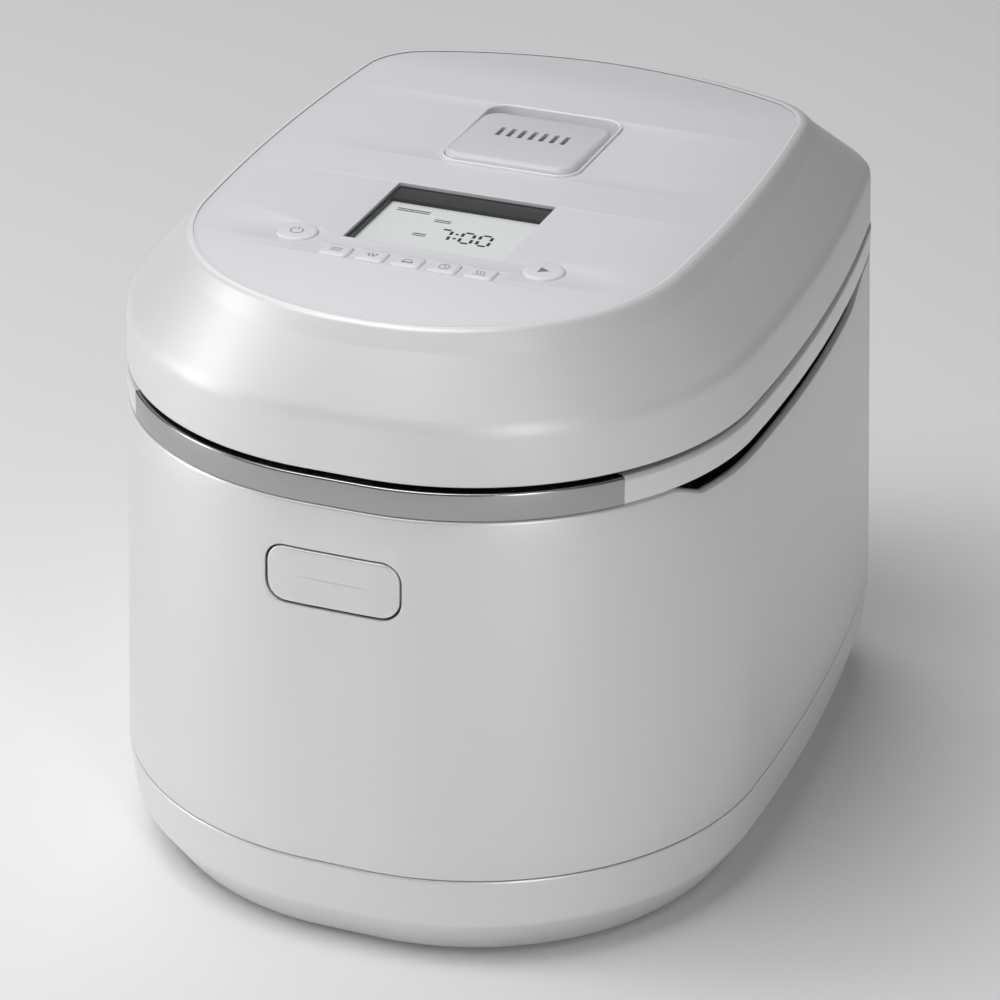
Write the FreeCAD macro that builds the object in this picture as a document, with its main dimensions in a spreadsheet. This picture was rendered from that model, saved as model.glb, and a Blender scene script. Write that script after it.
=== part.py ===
"""Table-top gas rice cooker, millimetres.

X is the width, -Y the front, +Z up.  Shapes are drawn about the middle of the casing and every
sub-part's Placement then moves them by centre_shift, so that the origin is the middle of the footprint.
"""
import FreeCAD, Part
import math
import os
import re
import Sketcher

DIMENSIONS = {
    # outline of the casing at the trim band: eight tangent arcs, symmetric about X = 0
    "body_width": 239.8, "body_depth": 302.6, "body_middle": 0, "body_side_middle": -12,
    "body_front_radius": 1800, "body_front_corner": 108.5, "body_side_radius": 820,
    "body_rear_corner": 30, "body_rear_radius": 1500,
    # outline of the top panel's seam
    "panel_width": 187, "panel_depth": 257, "panel_middle": -3, "panel_side_middle": 5,
    "panel_front_radius": 108, "panel_front_corner": 78, "panel_side_radius": 800,
    "panel_rear_corner": 26, "panel_rear_radius": 195,
    # heights of the seams, and how far the casing stands out below the band
    "foot_height": 2, "facet_height": 19.2, "seam_height": 39.3, "band_bottom": 182.3,
    "band_top": 193.2, "lid_bottom": 195.2, "lid_step": 216.7, "panel_height": 246.2,
    "seam_flare": 4.7, "facet_flare": 2.7, "base_tuck": 9.6, "lid_edge_inset": 0.3, "lid_step_inset": 0.9,
    "wall": 2.5, "centre_shift": -8, "fit_gap": 0.3,
    # trim band and grips
    "band_wall": 3, "band_joint": -111.7, "band_end": 128, "joint_gap": 0.2,
    "grip_front": -93.5, "grip_rear": 108, "grip_slope": 12, "grip_sill": 177,
    "grip_inner": 104, "pocket_wall": 1.5, "pocket_floor": 168, "pocket_top": 188.2,
    # deck under the lid
    "deck_top": 191, "deck_thickness": 2.5, "deck_hole": 102, "catch_slot_half": 12,
    # pot and chamber, round about the pot's axis
    "pot_middle": -8, "pot_radius": 91, "pot_wall": 2.5, "pot_base": 84, "pot_base_radius": 72,
    "pot_knuckle": 20, "pot_flange": 100, "pot_flange_thickness": 2,
    "flange_inner": 94, "flange_outer": 103.7, "flange_thickness": 1.4,
    "chamber_radius": 97, "chamber_wall": 1, "chamber_floor": 60,
    "shield_radius": 101.5, "shield_wall": 0.8,
    "tray_inner": 39, "tray_outer": 92, "tray_wall": 0.8, "trivet_radius": 76, "trivet_width": 8,
    "trivet_leg": 7,
    # burner
    "burner_base": 38, "burner_radius": 36, "burner_split": 54, "burner_top": 68, "burner_wall": 2.5,
    "burner_bore": 12.5, "port_count": 24, "port_radius": 1, "tube_radius": 11, "tube_height": 46,
    "tube_end": 96, "electrode_gap": 3, "electrode_radius": 2.6,
    # sensor in the middle of the burner
    "sensor_radius": 10, "sensor_wall": 1, "sensor_skirt": 14, "guide_gap": 0.4,
    "sensor_spring_radius": 6, "sensor_spring_wire": 0.9,
    # gas path
    "valve_width": 44, "valve_front": 104, "valve_rear": 134, "valve_low": 32, "valve_high": 60,
    "gas_x": 52, "gas_height": 62, "gas_reach": 172, "hose_radius": 5.3, "hose_seat": 155.8,
    "pipe_radius": 4, "pipe_wall": 1, "pipe_y": 122, "pipe_bend": 12, "block_front": 141, "block_rear": 151,
    # mains inlet bush
    "inlet_x": -60, "inlet_height": 62, "inlet_bore": 3.6, "inlet_radius": 7,
    # latch and open button
    "button_half": 25.3, "button_low": 142.4, "button_high": 163.6, "button_corner": 7, "button_gap": 0.8,
    "button_face": -152.3, "button_thickness": 3.5, "button_flange": 1.2, "button_stem": 1.5,
    "pivot_y": -141.5, "pivot_height": 165, "pivot_radius": 1.5, "running_gap": 0.05,
    "lever_width": 10, "hook_height": 180.5, "catch_y": -135.2, "catch_plate": 1.6,
    "bracket_face": -130, "small_wire": 0.35,
    # hinge
    "hinge_y": 154, "hinge_height": 184, "pin_radius": 3, "pin_half": 60, "ear": 3,
    "arm_inner": 29, "arm_outer": 53, "arm_radius": 7, "housing_half": 68, "housing_radius": 10.2,
    # top panel, display and keys
    "panel_thickness": 1.5, "panel_gap": 0.3, "lid_wall": 2.5,
    "window_half": 30.9, "window_front": -67.8, "window_rear": -14.9,
    "lcd_depth": 3.2, "key_pitch": 13.9, "key_row": -80.8, "key_half_width": 5.6, "key_half_depth": 4.6,
    "key_proud": 0.7, "key_corner": 1.6, "key_gap": 0.25, "key_depth": 4, "key_rim": 1,
    "round_key_x": 47.6, "round_key_y": -70.7, "round_key_radius": 7.8,
    "board_height": 234, "board_thickness": 1.6, "power_board_y": -128,
    # steam cap
    "steam_front": 10, "steam_rear": 69.8, "steam_half": 28, "steam_corner": 9, "steam_wall": 1.2,
    "steam_floor": 226, "steam_lip": 0.8, "steam_cap_front": 248.8, "steam_cap_rear": 247.4,
    "slot_pitch": 4.35, "slot_half_width": 0.95, "slot_half_length": 4.3, "slot_y": 40.6,
    "cap_gap": 0.4, "finger_gap": 8,
    "duct_radius": 9, "duct_wall": 1.5,
    # screws in the base
    "screw_radius": 1.5, "screw_head": 1.6, "screw_length": 9,
    # vents in the base and louvres in the rear wall
    "vent_x": 20, "vent_pitch": 12, "vent_half_width": 3,
    "louvre_low": 100, "louvre_pitch": 8, "louvre_height": 4, "louvre_half": 36,
    # inside of the lid
    "frame_low": 196.6, "frame_thickness": 2, "inner_lid_radius": 97, "inner_lid_low": 192.6,
    "gasket_low": 190.9,
}

doc = FreeCAD.newDocument("rice_cooker")
sheet = doc.addObject("Spreadsheet::Sheet", "dims")
for row, (alias, value) in enumerate(DIMENSIONS.items(), 1):
    sheet.set(f"A{row}", alias)
    sheet.set(f"B{row}", str(value))
    sheet.setAlias(f"B{row}", alias)
doc.recompute()

sub_parts = []


# ---------------------------------------------------------------- expressions
def bound(text):
    """The expression with each dimension's name made a reference to the sheet."""
    def refer(name):
        return "dims." + name[0] if name[0] in DIMENSIONS else name[0]
    return re.sub(r"[a-z_]+", refer, str(text))


def size(text):
    return float(sheet.evalExpression(bound(text)))


# ---------------------------------------------------------------- bodies and sketches
def new_body(label, middle="0"):
    body = doc.addObject("PartDesign::Body", label)
    body.Label = label
    body.setExpression("Placement.Base.y", bound(f"centre_shift + {middle}"))
    sub_parts.append(body)
    return body


def new_sketch(body, plane, level="0"):
    """A sketch on one of the body's own planes; level is its place along +Z, +Y or +X."""
    sketch = body.newObject("Sketcher::SketchObject", body.Label + "_sketch")
    support = next(item for item in body.Origin.OriginFeatures if item.Role == plane + "_Plane")
    sketch.AttachmentSupport = [(support, "")]
    sketch.MapMode = "FlatFace"
    sign = "-" if plane == "XZ" else ""
    sketch.setExpression("AttachmentOffset.Base.z", bound(f"{sign}({level})"))
    return sketch


def constrain(sketch, kind, where, text):
    """One dimension of a sketch, bound to the sheet."""
    value = size(text)
    number = sketch.addConstraint(Sketcher.Constraint(kind, *where, value))
    name = f"size_{number}"
    sketch.renameConstraint(number, name)
    sketch.setExpression("Constraints." + name, bound(text))


def place_point(sketch, line, end, across, along):
    """Fix a point by its two distances from the sketch's origin."""
    for kind, axis, text in (("DistanceX", -2, across), ("DistanceY", -1, along)):
        if abs(size(text)) < 1e-6:
            sketch.addConstraint(Sketcher.Constraint("PointOnObject", line, end, axis))
        else:
            constrain(sketch, kind, (-1, 1, line, end), text)


def add_polygon(sketch, corners):
    points = [FreeCAD.Vector(size(across), size(along), 0) for across, along in corners]
    first = sketch.GeometryCount
    count = len(points)
    for number in range(count):
        sketch.addGeometry(Part.LineSegment(points[number], points[(number + 1) % count]))
    for number in range(count):
        following = first + (number + 1) % count
        sketch.addConstraint(Sketcher.Constraint("Coincident", first + number, 2, following, 1))
    for number, (across, along) in enumerate(corners):
        place_point(sketch, first + number, 1, across, along)


def add_rectangle(sketch, low_u, high_u, low_v, high_v):
    add_polygon(sketch, [(low_u, low_v), (high_u, low_v), (high_u, high_v), (low_u, high_v)])


def add_circle(sketch, across, along, radius):
    centre = FreeCAD.Vector(size(across), size(along), 0)
    line = sketch.addGeometry(Part.Circle(centre, FreeCAD.Vector(0, 0, 1), size(radius)))
    constrain(sketch, "Radius", (line,), radius)
    place_point(sketch, line, 3, across, along)


def add_rounded_rectangle(sketch, low_u, high_u, low_v, high_v, radius):
    """Four lines and four equal tangent arcs, anticlockwise from the lower line."""
    left, right, low, high, bend = (size(text) for text in (low_u, high_u, low_v, high_v, radius))
    corners = [(right - bend, low + bend), (right - bend, high - bend), (left + bend, high - bend),
               (left + bend, low + bend)]
    lines = [((left + bend, low), (right - bend, low)), ((right, low + bend), (right, high - bend)),
             ((right - bend, high), (left + bend, high)), ((left, high - bend), (left, low + bend))]
    first = sketch.GeometryCount
    for number, (start, end) in enumerate(lines):
        sketch.addGeometry(Part.LineSegment(FreeCAD.Vector(*start, 0), FreeCAD.Vector(*end, 0)))
        circle = Part.Circle(FreeCAD.Vector(*corners[number], 0), FreeCAD.Vector(0, 0, 1), bend)
        sketch.addGeometry(Part.ArcOfCircle(circle, (number - 1) * math.pi / 2, number * math.pi / 2))
    for number in range(8):
        sketch.addConstraint(Sketcher.Constraint("Tangent", first + number, 2, first + (number + 1) % 8, 1))
    for number in (0, 4):
        sketch.addConstraint(Sketcher.Constraint("Horizontal", first + number))
        sketch.addConstraint(Sketcher.Constraint("Vertical", first + number + 2))
    for number in (3, 5, 7):
        sketch.addConstraint(Sketcher.Constraint("Equal", first + 1, first + number))
    constrain(sketch, "Radius", (first + 1,), radius)
    constrain(sketch, "DistanceY", (-1, 1, first, 1), low_v)
    constrain(sketch, "DistanceX", (-1, 1, first + 2, 1), high_u)
    constrain(sketch, "DistanceY", (-1, 1, first + 4, 1), high_v)
    constrain(sketch, "DistanceX", (-1, 1, first + 6, 1), low_u)


def corner_centre(first, first_radius, second, second_radius, radius, toward):
    """Centre of the arc that touches two larger arcs from inside, towards the rear (1) or front (-1)."""
    reach_a = first_radius - radius
    reach_b = second_radius - radius
    gap = math.dist(first, second)
    along = (reach_a ** 2 - reach_b ** 2 + gap ** 2) / (2 * gap)
    aside = math.sqrt(reach_a ** 2 - along ** 2)
    step_x = (second[0] - first[0]) / gap
    step_y = (second[1] - first[1]) / gap
    foot = (first[0] + along * step_x, first[1] + along * step_y)
    options = [(foot[0] - side * aside * step_y, foot[1] + side * aside * step_x) for side in (1, -1)]
    return max(options, key=lambda point: toward * point[1])


def add_outline(sketch, family, inset):
    """The rounded outline of the casing or of the top panel, made smaller by inset all round."""
    def radius(name):
        return size(f"{family}_{name} - ({inset})")

    front_y = f"{family}_middle - {family}_depth / 2 + {family}_front_radius"
    rear_y = f"{family}_middle + {family}_depth / 2 - {family}_rear_radius"
    side_x = f"{family}_width / 2 - {family}_side_radius"
    side_y = f"{family}_side_middle"
    front = (0, size(front_y))
    rear = (0, size(rear_y))
    side = (size(side_x), size(side_y))
    side_radius = radius("side_radius")
    near = corner_centre(front, radius("front_radius"), side, side_radius, radius("front_corner"), -1)
    far = corner_centre(side, side_radius, rear, radius("rear_radius"), radius("rear_corner"), 1)

    def angle(centre, target):
        return math.atan2(target[1] - centre[1], target[0] - centre[0])

    turn = math.pi
    stops = [angle(front, near), angle(side, near), angle(side, far), angle(rear, far)]
    right = [(near, "front_corner", stops[0], stops[1]), (side, "side_radius", stops[1], stops[2]),
             (far, "rear_corner", stops[2], stops[3])]
    left = [((-centre[0], centre[1]), name, turn - high, turn - low)
            for centre, name, low, high in reversed(right)]
    arcs = [(front, "front_radius", -turn - stops[0], stops[0])] + right
    arcs += [(rear, "rear_radius", stops[3], turn - stops[3])] + left
    begin = sketch.GeometryCount
    for centre, name, low, high in arcs:
        circle = Part.Circle(FreeCAD.Vector(*centre, 0), FreeCAD.Vector(0, 0, 1), radius(name))
        sketch.addGeometry(Part.ArcOfCircle(circle, low, high))
    for number in range(8):
        following = begin + (number + 1) % 8
        sketch.addConstraint(Sketcher.Constraint("Tangent", begin + number, 2, following, 1))
    for number in (0, 4):
        sketch.addConstraint(Sketcher.Constraint("PointOnObject", begin + number, 3, -2))
    sketch.addConstraint(Sketcher.Constraint("Symmetric", begin + 2, 3, begin + 6, 3, -2))
    for one, other in ((2, 6), (1, 7), (3, 5)):
        sketch.addConstraint(Sketcher.Constraint("Equal", begin + one, begin + other))
    names = ("front_radius", "front_corner", "side_radius", "rear_corner", "rear_radius")
    for number, name in enumerate(names):
        constrain(sketch, "Radius", (begin + number,), f"{family}_{name} - ({inset})")
    constrain(sketch, "DistanceY", (-1, 1, begin, 3), front_y)
    constrain(sketch, "DistanceY", (-1, 1, begin + 4, 3), rear_y)
    constrain(sketch, "DistanceX", (-1, 1, begin + 2, 3), side_x)
    constrain(sketch, "DistanceY", (-1, 1, begin + 2, 3), side_y)


# ---------------------------------------------------------------- features
def checked(body, feature, removes):
    """Recompute, and stop if a cut cut nothing or an addition added nothing."""
    before = body.Tip.Shape.Volume if body.Tip and not body.Tip.Shape.isNull() else 0
    doc.recompute()
    if "Invalid" in feature.State or feature.Shape.isNull():
        raise ValueError(f"{body.Label}: {feature.Label} failed")
    after = feature.Shape.Volume
    if removes and after > before - 1e-3 or not removes and after < before + 1e-3:
        raise ValueError(f"{body.Label}: {feature.Label} changes nothing ({before:.1f} to {after:.1f})")
    body.Tip = feature
    return feature


def add_slab(body, plane, low, high, draw):
    """Pad what draw puts in a sketch from one level to another."""
    sketch = new_sketch(body, plane, low)
    draw(sketch)
    before = body.Tip
    pad = body.newObject("PartDesign::Pad", body.Label + "_pad")
    body.Tip = before
    pad.Profile = sketch
    pad.setExpression("Length", bound(f"({high}) - ({low})"))
    pad.Reversed = plane == "XZ"
    return checked(body, pad, removes=False)


def cut_slab(body, plane, low, high, draw):
    """Pocket what draw puts in a sketch from one level to another."""
    sketch = new_sketch(body, plane, low)
    draw(sketch)
    before = body.Tip
    pocket = body.newObject("PartDesign::Pocket", body.Label + "_pocket")
    body.Tip = before
    pocket.Profile = sketch
    pocket.setExpression("Length", bound(f"({high}) - ({low})"))
    pocket.Reversed = plane != "XZ"
    return checked(body, pocket, removes=True)


def loft(body, sections, removes=False):
    """A straight-sided loft through (family, inset, height) outlines."""
    sketches = []
    for family, inset, height in sections:
        sketch = new_sketch(body, "XY", height)
        add_outline(sketch, family, inset)
        sketches.append(sketch)
    kind = "Subtractive" if removes else "Additive"
    before = body.Tip
    feature = body.newObject(f"PartDesign::{kind}Loft", body.Label + "_loft")
    body.Tip = before
    feature.Profile = sketches[0]
    feature.Sections = sketches[1:]
    feature.Ruled = True
    return checked(body, feature, removes)


def turned(body, profile, axis="V_Axis", plane="XZ", removes=False):
    """A closed profile turned once about an axis of its sketch."""
    sketch = new_sketch(body, plane)
    add_polygon(sketch, profile)
    before = body.Tip
    kind = "PartDesign::Groove" if removes else "PartDesign::Revolution"
    feature = body.newObject(kind, body.Label + "_turned")
    body.Tip = before
    feature.Profile = sketch
    feature.ReferenceAxis = (sketch, [axis])
    feature.Angle = 360
    return checked(body, feature, removes)


def fillet(body, radius, wanted):
    """Round the edges for which wanted(edge) is true."""
    base = body.Tip
    names = [f"Edge{number}" for number, edge in enumerate(base.Shape.Edges, 1) if wanted(edge)]
    feature = body.newObject("PartDesign::Fillet", body.Label + "_fillet")
    feature.Base = (base, names)
    feature.setExpression("Radius", bound(radius))
    doc.recompute()
    if not names or "Invalid" in feature.State or not feature.Shape.isValid():
        raise ValueError(f"{body.Label}: fillet failed")
    body.Tip = feature
    return feature


def polar(body, feature, count, axis="Z_Axis"):
    pattern = body.newObject("PartDesign::PolarPattern", body.Label + "_pattern")
    pattern.Originals = [feature]
    pattern.Axis = (next(item for item in body.Origin.OriginFeatures if item.Role == axis), [""])
    pattern.Angle = 360
    pattern.Occurrences = count
    body.Tip = pattern
    doc.recompute()
    return pattern


def upright(edge):
    """True for a straight edge along Z."""
    return len(edge.Vertexes) == 2 and abs(edge.tangentAt(edge.FirstParameter).z) > 0.999


def keep_inside(body, family, inset, low, high):
    """Trim away what stands outside the outline between two heights."""
    def draw(sketch):
        add_rectangle(sketch, "-300", "300", "-300", "300")
        add_outline(sketch, family, inset)
    cut_slab(body, "XY", low, high, draw)


def outline_of(family, *insets):
    """A drawing of one outline, or of a ring between two."""
    def draw(sketch):
        for inset in insets:
            add_outline(sketch, family, inset)
    return draw


def rectangle_of(low_u, high_u, low_v, high_v):
    return lambda sketch: add_rectangle(sketch, low_u, high_u, low_v, high_v)


def rounded_of(low_u, high_u, low_v, high_v, radius):
    return lambda sketch: add_rounded_rectangle(sketch, low_u, high_u, low_v, high_v, radius)


def circle_of(across, along, radius):
    return lambda sketch: add_circle(sketch, across, along, radius)


def polygon_of(corners):
    return lambda sketch: add_polygon(sketch, corners)


def several(*drawings):
    def draw(sketch):
        for drawing in drawings:
            drawing(sketch)
    return draw


# ---------------------------------------------------------------- casing
def base_ring():
    body = new_body("base_ring")
    loft(body, [("body", "base_tuck", "foot_height"), ("body", "-facet_flare", "facet_height"),
                ("body", "-seam_flare", "seam_height")])
    loft(body, [("body", "base_tuck + wall - 2", "foot_height + wall"),
                ("body", "wall - facet_flare", "facet_height"),
                ("body", "wall - seam_flare", "seam_height")], removes=True)
    cut_slab(body, "XY", "foot_height - 1", "foot_height + wall + 1", outline_of("body", "29"))
    for across, along in foot_places():
        cut_slab(body, "XY", "foot_height - 1", "foot_height + wall + 1", circle_of(across, along, "4"))


def foot_places():
    return [("88", "-80"), ("-88", "-80"), ("90", "105"), ("-90", "105")]


def rubber_feet():
    body = new_body("rubber_feet")
    for across, along in foot_places():
        add_slab(body, "XY", "0", "foot_height", circle_of(across, along, "9"))
        add_slab(body, "XY", "foot_height", "foot_height + wall", circle_of(across, along, "3.95"))


def bottom_plate():
    body = new_body("bottom_plate")
    add_slab(body, "XY", "foot_height + wall", "foot_height + wall + 1", outline_of("body", "14"))
    for side in (-1, 1):
        places = [f"{side} * vent_x + {step} * vent_pitch" for step in range(-1, 2)]
        vents = [rectangle_of(f"{place} - vent_half_width", f"{place} + vent_half_width", "-50", "30")
                 for place in places]
        cut_slab(body, "XY", "foot_height + wall - 1", "foot_height + wall + 2", several(*vents))
    holes = [circle_of(across, along, "screw_radius + 0.1") for across, along in screw_places()]
    cut_slab(body, "XY", "foot_height + wall - 1", "foot_height + wall + 2", several(*holes))


def outer_body():
    body = new_body("outer_body")
    loft(body, [("body", "-seam_flare", "seam_height"), ("body", "0", "band_bottom")])
    loft(body, [("body", "wall - seam_flare", "seam_height"), ("body", "wall", "band_bottom")], removes=True)
    grip = [("grip_front", "band_bottom + 1"), ("grip_front + grip_slope", "grip_sill"),
            ("grip_rear - grip_slope * 2", "grip_sill"), ("grip_rear", "band_bottom + 1")]
    cut_slab(body, "YZ", "80", "140", polygon_of(grip))
    cut_slab(body, "YZ", "-140", "-80", polygon_of(grip))
    cut_slab(body, "XZ", "-170", "-140", rounded_of(
        "-button_half - button_gap", "button_half + button_gap", "button_low - button_gap",
        "button_high + button_gap", "button_corner + button_gap"))
    cut_slab(body, "XZ", "140", "165", several(
        circle_of("gas_x", "gas_height", "12"), circle_of("inlet_x", "inlet_height", "inlet_radius + 0.1")))
    lows = [f"louvre_low + {step} * louvre_pitch" for step in range(6)]
    louvres = [rectangle_of("-louvre_half", "louvre_half", low, f"{low} + louvre_height") for low in lows]
    cut_slab(body, "XZ", "140", "165", several(*louvres))
    cut_slab(body, "XZ", "140", "165", rectangle_of("-housing_half", "housing_half", "160", "band_bottom + 1"))


def band_piece(label, cuts):
    """A length of the trim band, what is left once the cuts are taken from the whole ring."""
    body = new_body(label)
    add_slab(body, "XY", "band_bottom", "band_top", outline_of("body", "0", "band_wall"))
    for cut in cuts:
        cut_slab(body, "XY", "band_bottom - 1", "band_top + 1", cut)
    return body


def front_band():
    band_piece("front_band", [rectangle_of("-200", "200", "band_joint", "200")])


def handles():
    for label, low, high in (("handle_left", "-0", "200"), ("handle_right", "-200", "0")):
        band_piece(label, [rectangle_of(low, high, "-200", "200"),
                           rectangle_of("-200", "200", "-200", "band_joint + joint_gap"),
                           rectangle_of("-200", "200", "band_end", "200")])


def grip_pockets():
    """A trough behind each grip opening, for the fingers."""
    for label, side in (("grip_pocket_left", -1), ("grip_pocket_right", 1)):
        body = new_body(label)
        ends = sorted((f"{side} * (grip_inner)", f"{side} * 140"), key=size)
        add_slab(body, "XY", "pocket_floor", "pocket_top", rectangle_of(
            ends[0], ends[1], "grip_front - 2", "grip_rear + 2"))
        keep_inside(body, "body", "band_wall + 0.4", "pocket_floor - 1", "pocket_top + 1")
        hollow = sorted((f"{side} * (grip_inner + pocket_wall)", f"{side} * 140"), key=size)
        cut_slab(body, "XY", "pocket_floor + pocket_wall", "pocket_top - pocket_wall", rectangle_of(
            hollow[0], hollow[1], "grip_front - 0.5", "grip_rear + 0.5"))


def rear_cover():
    """The rear of the band with the hinge housing, open above where the lid's arms swing."""
    body = band_piece("rear_cover", [rectangle_of("-200", "200", "-200", "band_end + joint_gap")])
    top = "hinge_height + housing_radius"
    rear = "hinge_y + housing_radius"
    add_slab(body, "YZ", "-housing_half + 0.5", "housing_half - 0.5", polygon_of([
        ("148", "161"), ("154.5", "161"), (rear, "174"), (rear, "hinge_height + 4"),
        ("hinge_y + 4", top), ("hinge_y - 4", top), ("148", "band_top")]))
    inner = f"{rear} - 2.2"
    room = [("143", "163.5"), ("153", "163.5"), (inner, "174.5"), (inner, "hinge_height + 3.4"),
            ("hinge_y + 3.4", f"{top} - 2.2"), ("hinge_y - 3.4", f"{top} - 2.2"), ("143", "band_top - 2.2")]
    cut_slab(body, "YZ", "-housing_half + 2.5", "housing_half - 2.5", polygon_of(room))
    for side in (-1, 1):
        ends = sorted((f"{side} * (arm_inner - 0.7)", f"{side} * (arm_outer + 0.7)"), key=size)
        cut_slab(body, "XY", "hinge_height - 8", "hinge_height + 20", rectangle_of(
            ends[0], ends[1], "140", "170"))


def top_deck():
    body = new_body("top_deck")
    add_slab(body, "XY", "deck_top - deck_thickness", "deck_top", outline_of("body", "band_wall + 0.2"))
    cut_slab(body, "XY", "deck_top - 5", "deck_top + 1", circle_of("0", "pot_middle", "deck_hole"))
    cut_slab(body, "XY", "deck_top - 5", "deck_top + 1", rectangle_of(
        "-catch_slot_half", "catch_slot_half", "-147", "-130.5"))
    cut_slab(body, "XY", "deck_top - 5", "deck_top + 1", rectangle_of("-58", "58", "143", "160"))


# ---------------------------------------------------------------- pot, chamber and burner
flange_top = "deck_top - deck_thickness - 0.1"


def inner_pot():
    body = new_body("inner_pot", "pot_middle")
    flange = "pot_rim - pot_flange_thickness"
    profile = [("0", "pot_base"), ("pot_base_radius", "pot_base"), ("pot_radius - 4", "pot_base + 7"),
               ("pot_radius", "pot_base + pot_knuckle"), ("pot_radius", flange), ("pot_flange", flange),
               ("pot_flange", "pot_rim"), ("pot_radius - pot_wall", "pot_rim"),
               ("pot_radius - pot_wall", "pot_base + pot_knuckle"),
               ("pot_radius - 4 - pot_wall", "pot_base + 7 + pot_wall * 0.7"),
               ("pot_base_radius - 1", "pot_base + pot_wall"), ("0", "pot_base + pot_wall")]
    rim = f"{flange_top} + pot_flange_thickness"
    turned(body, [(across, along.replace("pot_rim", rim)) for across, along in profile])


def heat_chamber():
    """A flanged sheet-metal cylinder: the pot's rim rests on its flange."""
    body = new_body("heat_chamber", "pot_middle")
    under = f"{flange_top} - flange_thickness"
    turned(body, [("burner_radius + 6", "chamber_floor"), ("chamber_radius + chamber_wall", "chamber_floor"),
                  ("chamber_radius + chamber_wall", under), ("flange_outer", under),
                  ("flange_outer", flange_top), ("flange_inner", flange_top),
                  ("flange_inner", under), ("chamber_radius", under),
                  ("chamber_radius", "chamber_floor + chamber_wall"),
                  ("burner_radius + 6", "chamber_floor + chamber_wall")])


def heat_shield():
    body = new_body("heat_shield", "pot_middle")
    low = "chamber_floor - 2"
    high = "pocket_floor - 2"
    turned(body, [("shield_radius", low), ("shield_radius + shield_wall", low),
                  ("shield_radius + shield_wall", high), ("shield_radius", high)])


def drip_tray():
    body = new_body("drip_tray", "pot_middle")
    low = "chamber_floor + chamber_wall"
    turned(body, [("tray_inner + 8", low), ("tray_outer", low), ("tray_outer + 3", f"{low} + 5"),
                  ("tray_outer + 2", f"{low} + 5"), ("tray_outer - 0.6", f"{low} + tray_wall"),
                  ("tray_inner + 8", f"{low} + tray_wall"), ("tray_inner + 4", f"{low} + 6"),
                  ("tray_inner + 3.2", f"{low} + 5.6"), ("tray_inner + 7", low)])


def pot_trivet():
    body = new_body("pot_trivet", "pot_middle")
    low = "chamber_floor + chamber_wall + tray_wall"
    turned(body, [("trivet_radius - 6", low), ("trivet_radius", low), ("trivet_radius", f"{low} + 4"),
                  ("trivet_radius - 6", f"{low} + 4")])
    end = "trivet_radius - 6 - trivet_width"
    leg = add_slab(body, "YZ", "-trivet_leg / 2", "trivet_leg / 2", polygon_of([
        ("trivet_radius - 6", f"{low} + 1"), ("trivet_radius", f"{low} + 1"),
        ("trivet_radius - 3", "pot_base"), (end, "pot_base"), (end, "pot_base - 3")]))
    polar(body, leg, 4)


def burner():
    body = new_body("burner_body", "pot_middle")
    guide = "sensor_radius + guide_gap"
    guide_top = "pot_base - sensor_skirt + 2"
    turned(body, [("3", "burner_base"), ("burner_radius", "burner_base"), ("burner_radius", "burner_split"),
                  ("burner_radius - burner_wall", "burner_split"),
                  ("burner_radius - burner_wall", "burner_base + burner_wall"),
                  ("burner_bore + 2", "burner_base + burner_wall"), ("burner_bore + 2", "burner_split"),
                  ("burner_bore - 0.4", "burner_split"), ("burner_bore - 0.4", guide_top), (guide, guide_top),
                  (guide, "burner_base + 2"), ("3", "burner_base + 2")])
    end = "tube_end - pot_middle"
    add_slab(body, "XZ", "burner_radius - 1.2", end, circle_of("0", "tube_height", "tube_radius - 3.2"))
    add_slab(body, "XZ", f"{end} - 14", end, circle_of("0", "tube_height", "tube_radius"))
    mouth = f"{end} - 12"
    cut_slab(body, "XZ", "burner_radius - 4", mouth, circle_of("0", "tube_height", "tube_radius - 5"))
    cut_slab(body, "XZ", mouth, f"{end} + 1", circle_of("0", "tube_height", "tube_radius - 1.6"))

    head = new_body("burner_head", "pot_middle")
    turned(head, [("burner_bore", "burner_split"), ("burner_radius", "burner_split"),
                  ("burner_radius", "burner_top - 3"), ("burner_radius - 4", "burner_top"),
                  ("burner_bore", "burner_top"), ("burner_bore", "burner_top - 2.5"),
                  ("burner_radius - 6", "burner_top - 2.5"),
                  ("burner_radius - 3", "burner_top - 5"), ("burner_radius - 3", "burner_split + 2"),
                  ("burner_bore", "burner_split + 2")])
    port = cut_slab(head, "YZ", "0", "burner_radius + 2", circle_of("0", "burner_top - 6.5", "port_radius"))
    polar(head, port, int(size("port_count")))


def sensor():
    cap = new_body("sensor_cap", "pot_middle")
    top = "pot_base - fit_gap"
    turned(cap, [("0", top), ("sensor_radius", top), ("sensor_radius", f"{top} - sensor_skirt"),
                 ("sensor_radius - sensor_wall", f"{top} - sensor_skirt"),
                 ("sensor_radius - sensor_wall", f"{top} - sensor_wall"), ("0", f"{top} - sensor_wall")])


def ignition():
    for label, side in (("ignition_electrode", 1), ("flame_sensor", -1)):
        body = new_body(label, "pot_middle")
        body.setExpression("Placement.Base.x", bound(f"{side} * (burner_radius + electrode_gap)"))
        turned(body, [("0", "burner_base + 4"), ("electrode_radius", "burner_base + 4"),
                      ("electrode_radius", "burner_top - 4"),
                      ("1", "burner_top - 1"), ("1", "burner_top + 2"), ("0", "burner_top + 2")])
        tip = sorted((f"{-side} * 6", "0"), key=size)
        add_slab(body, "YZ", tip[0], tip[1], rectangle_of(
            "-0.7", "0.7", "burner_top + 0.8", "burner_top + 2"))


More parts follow.
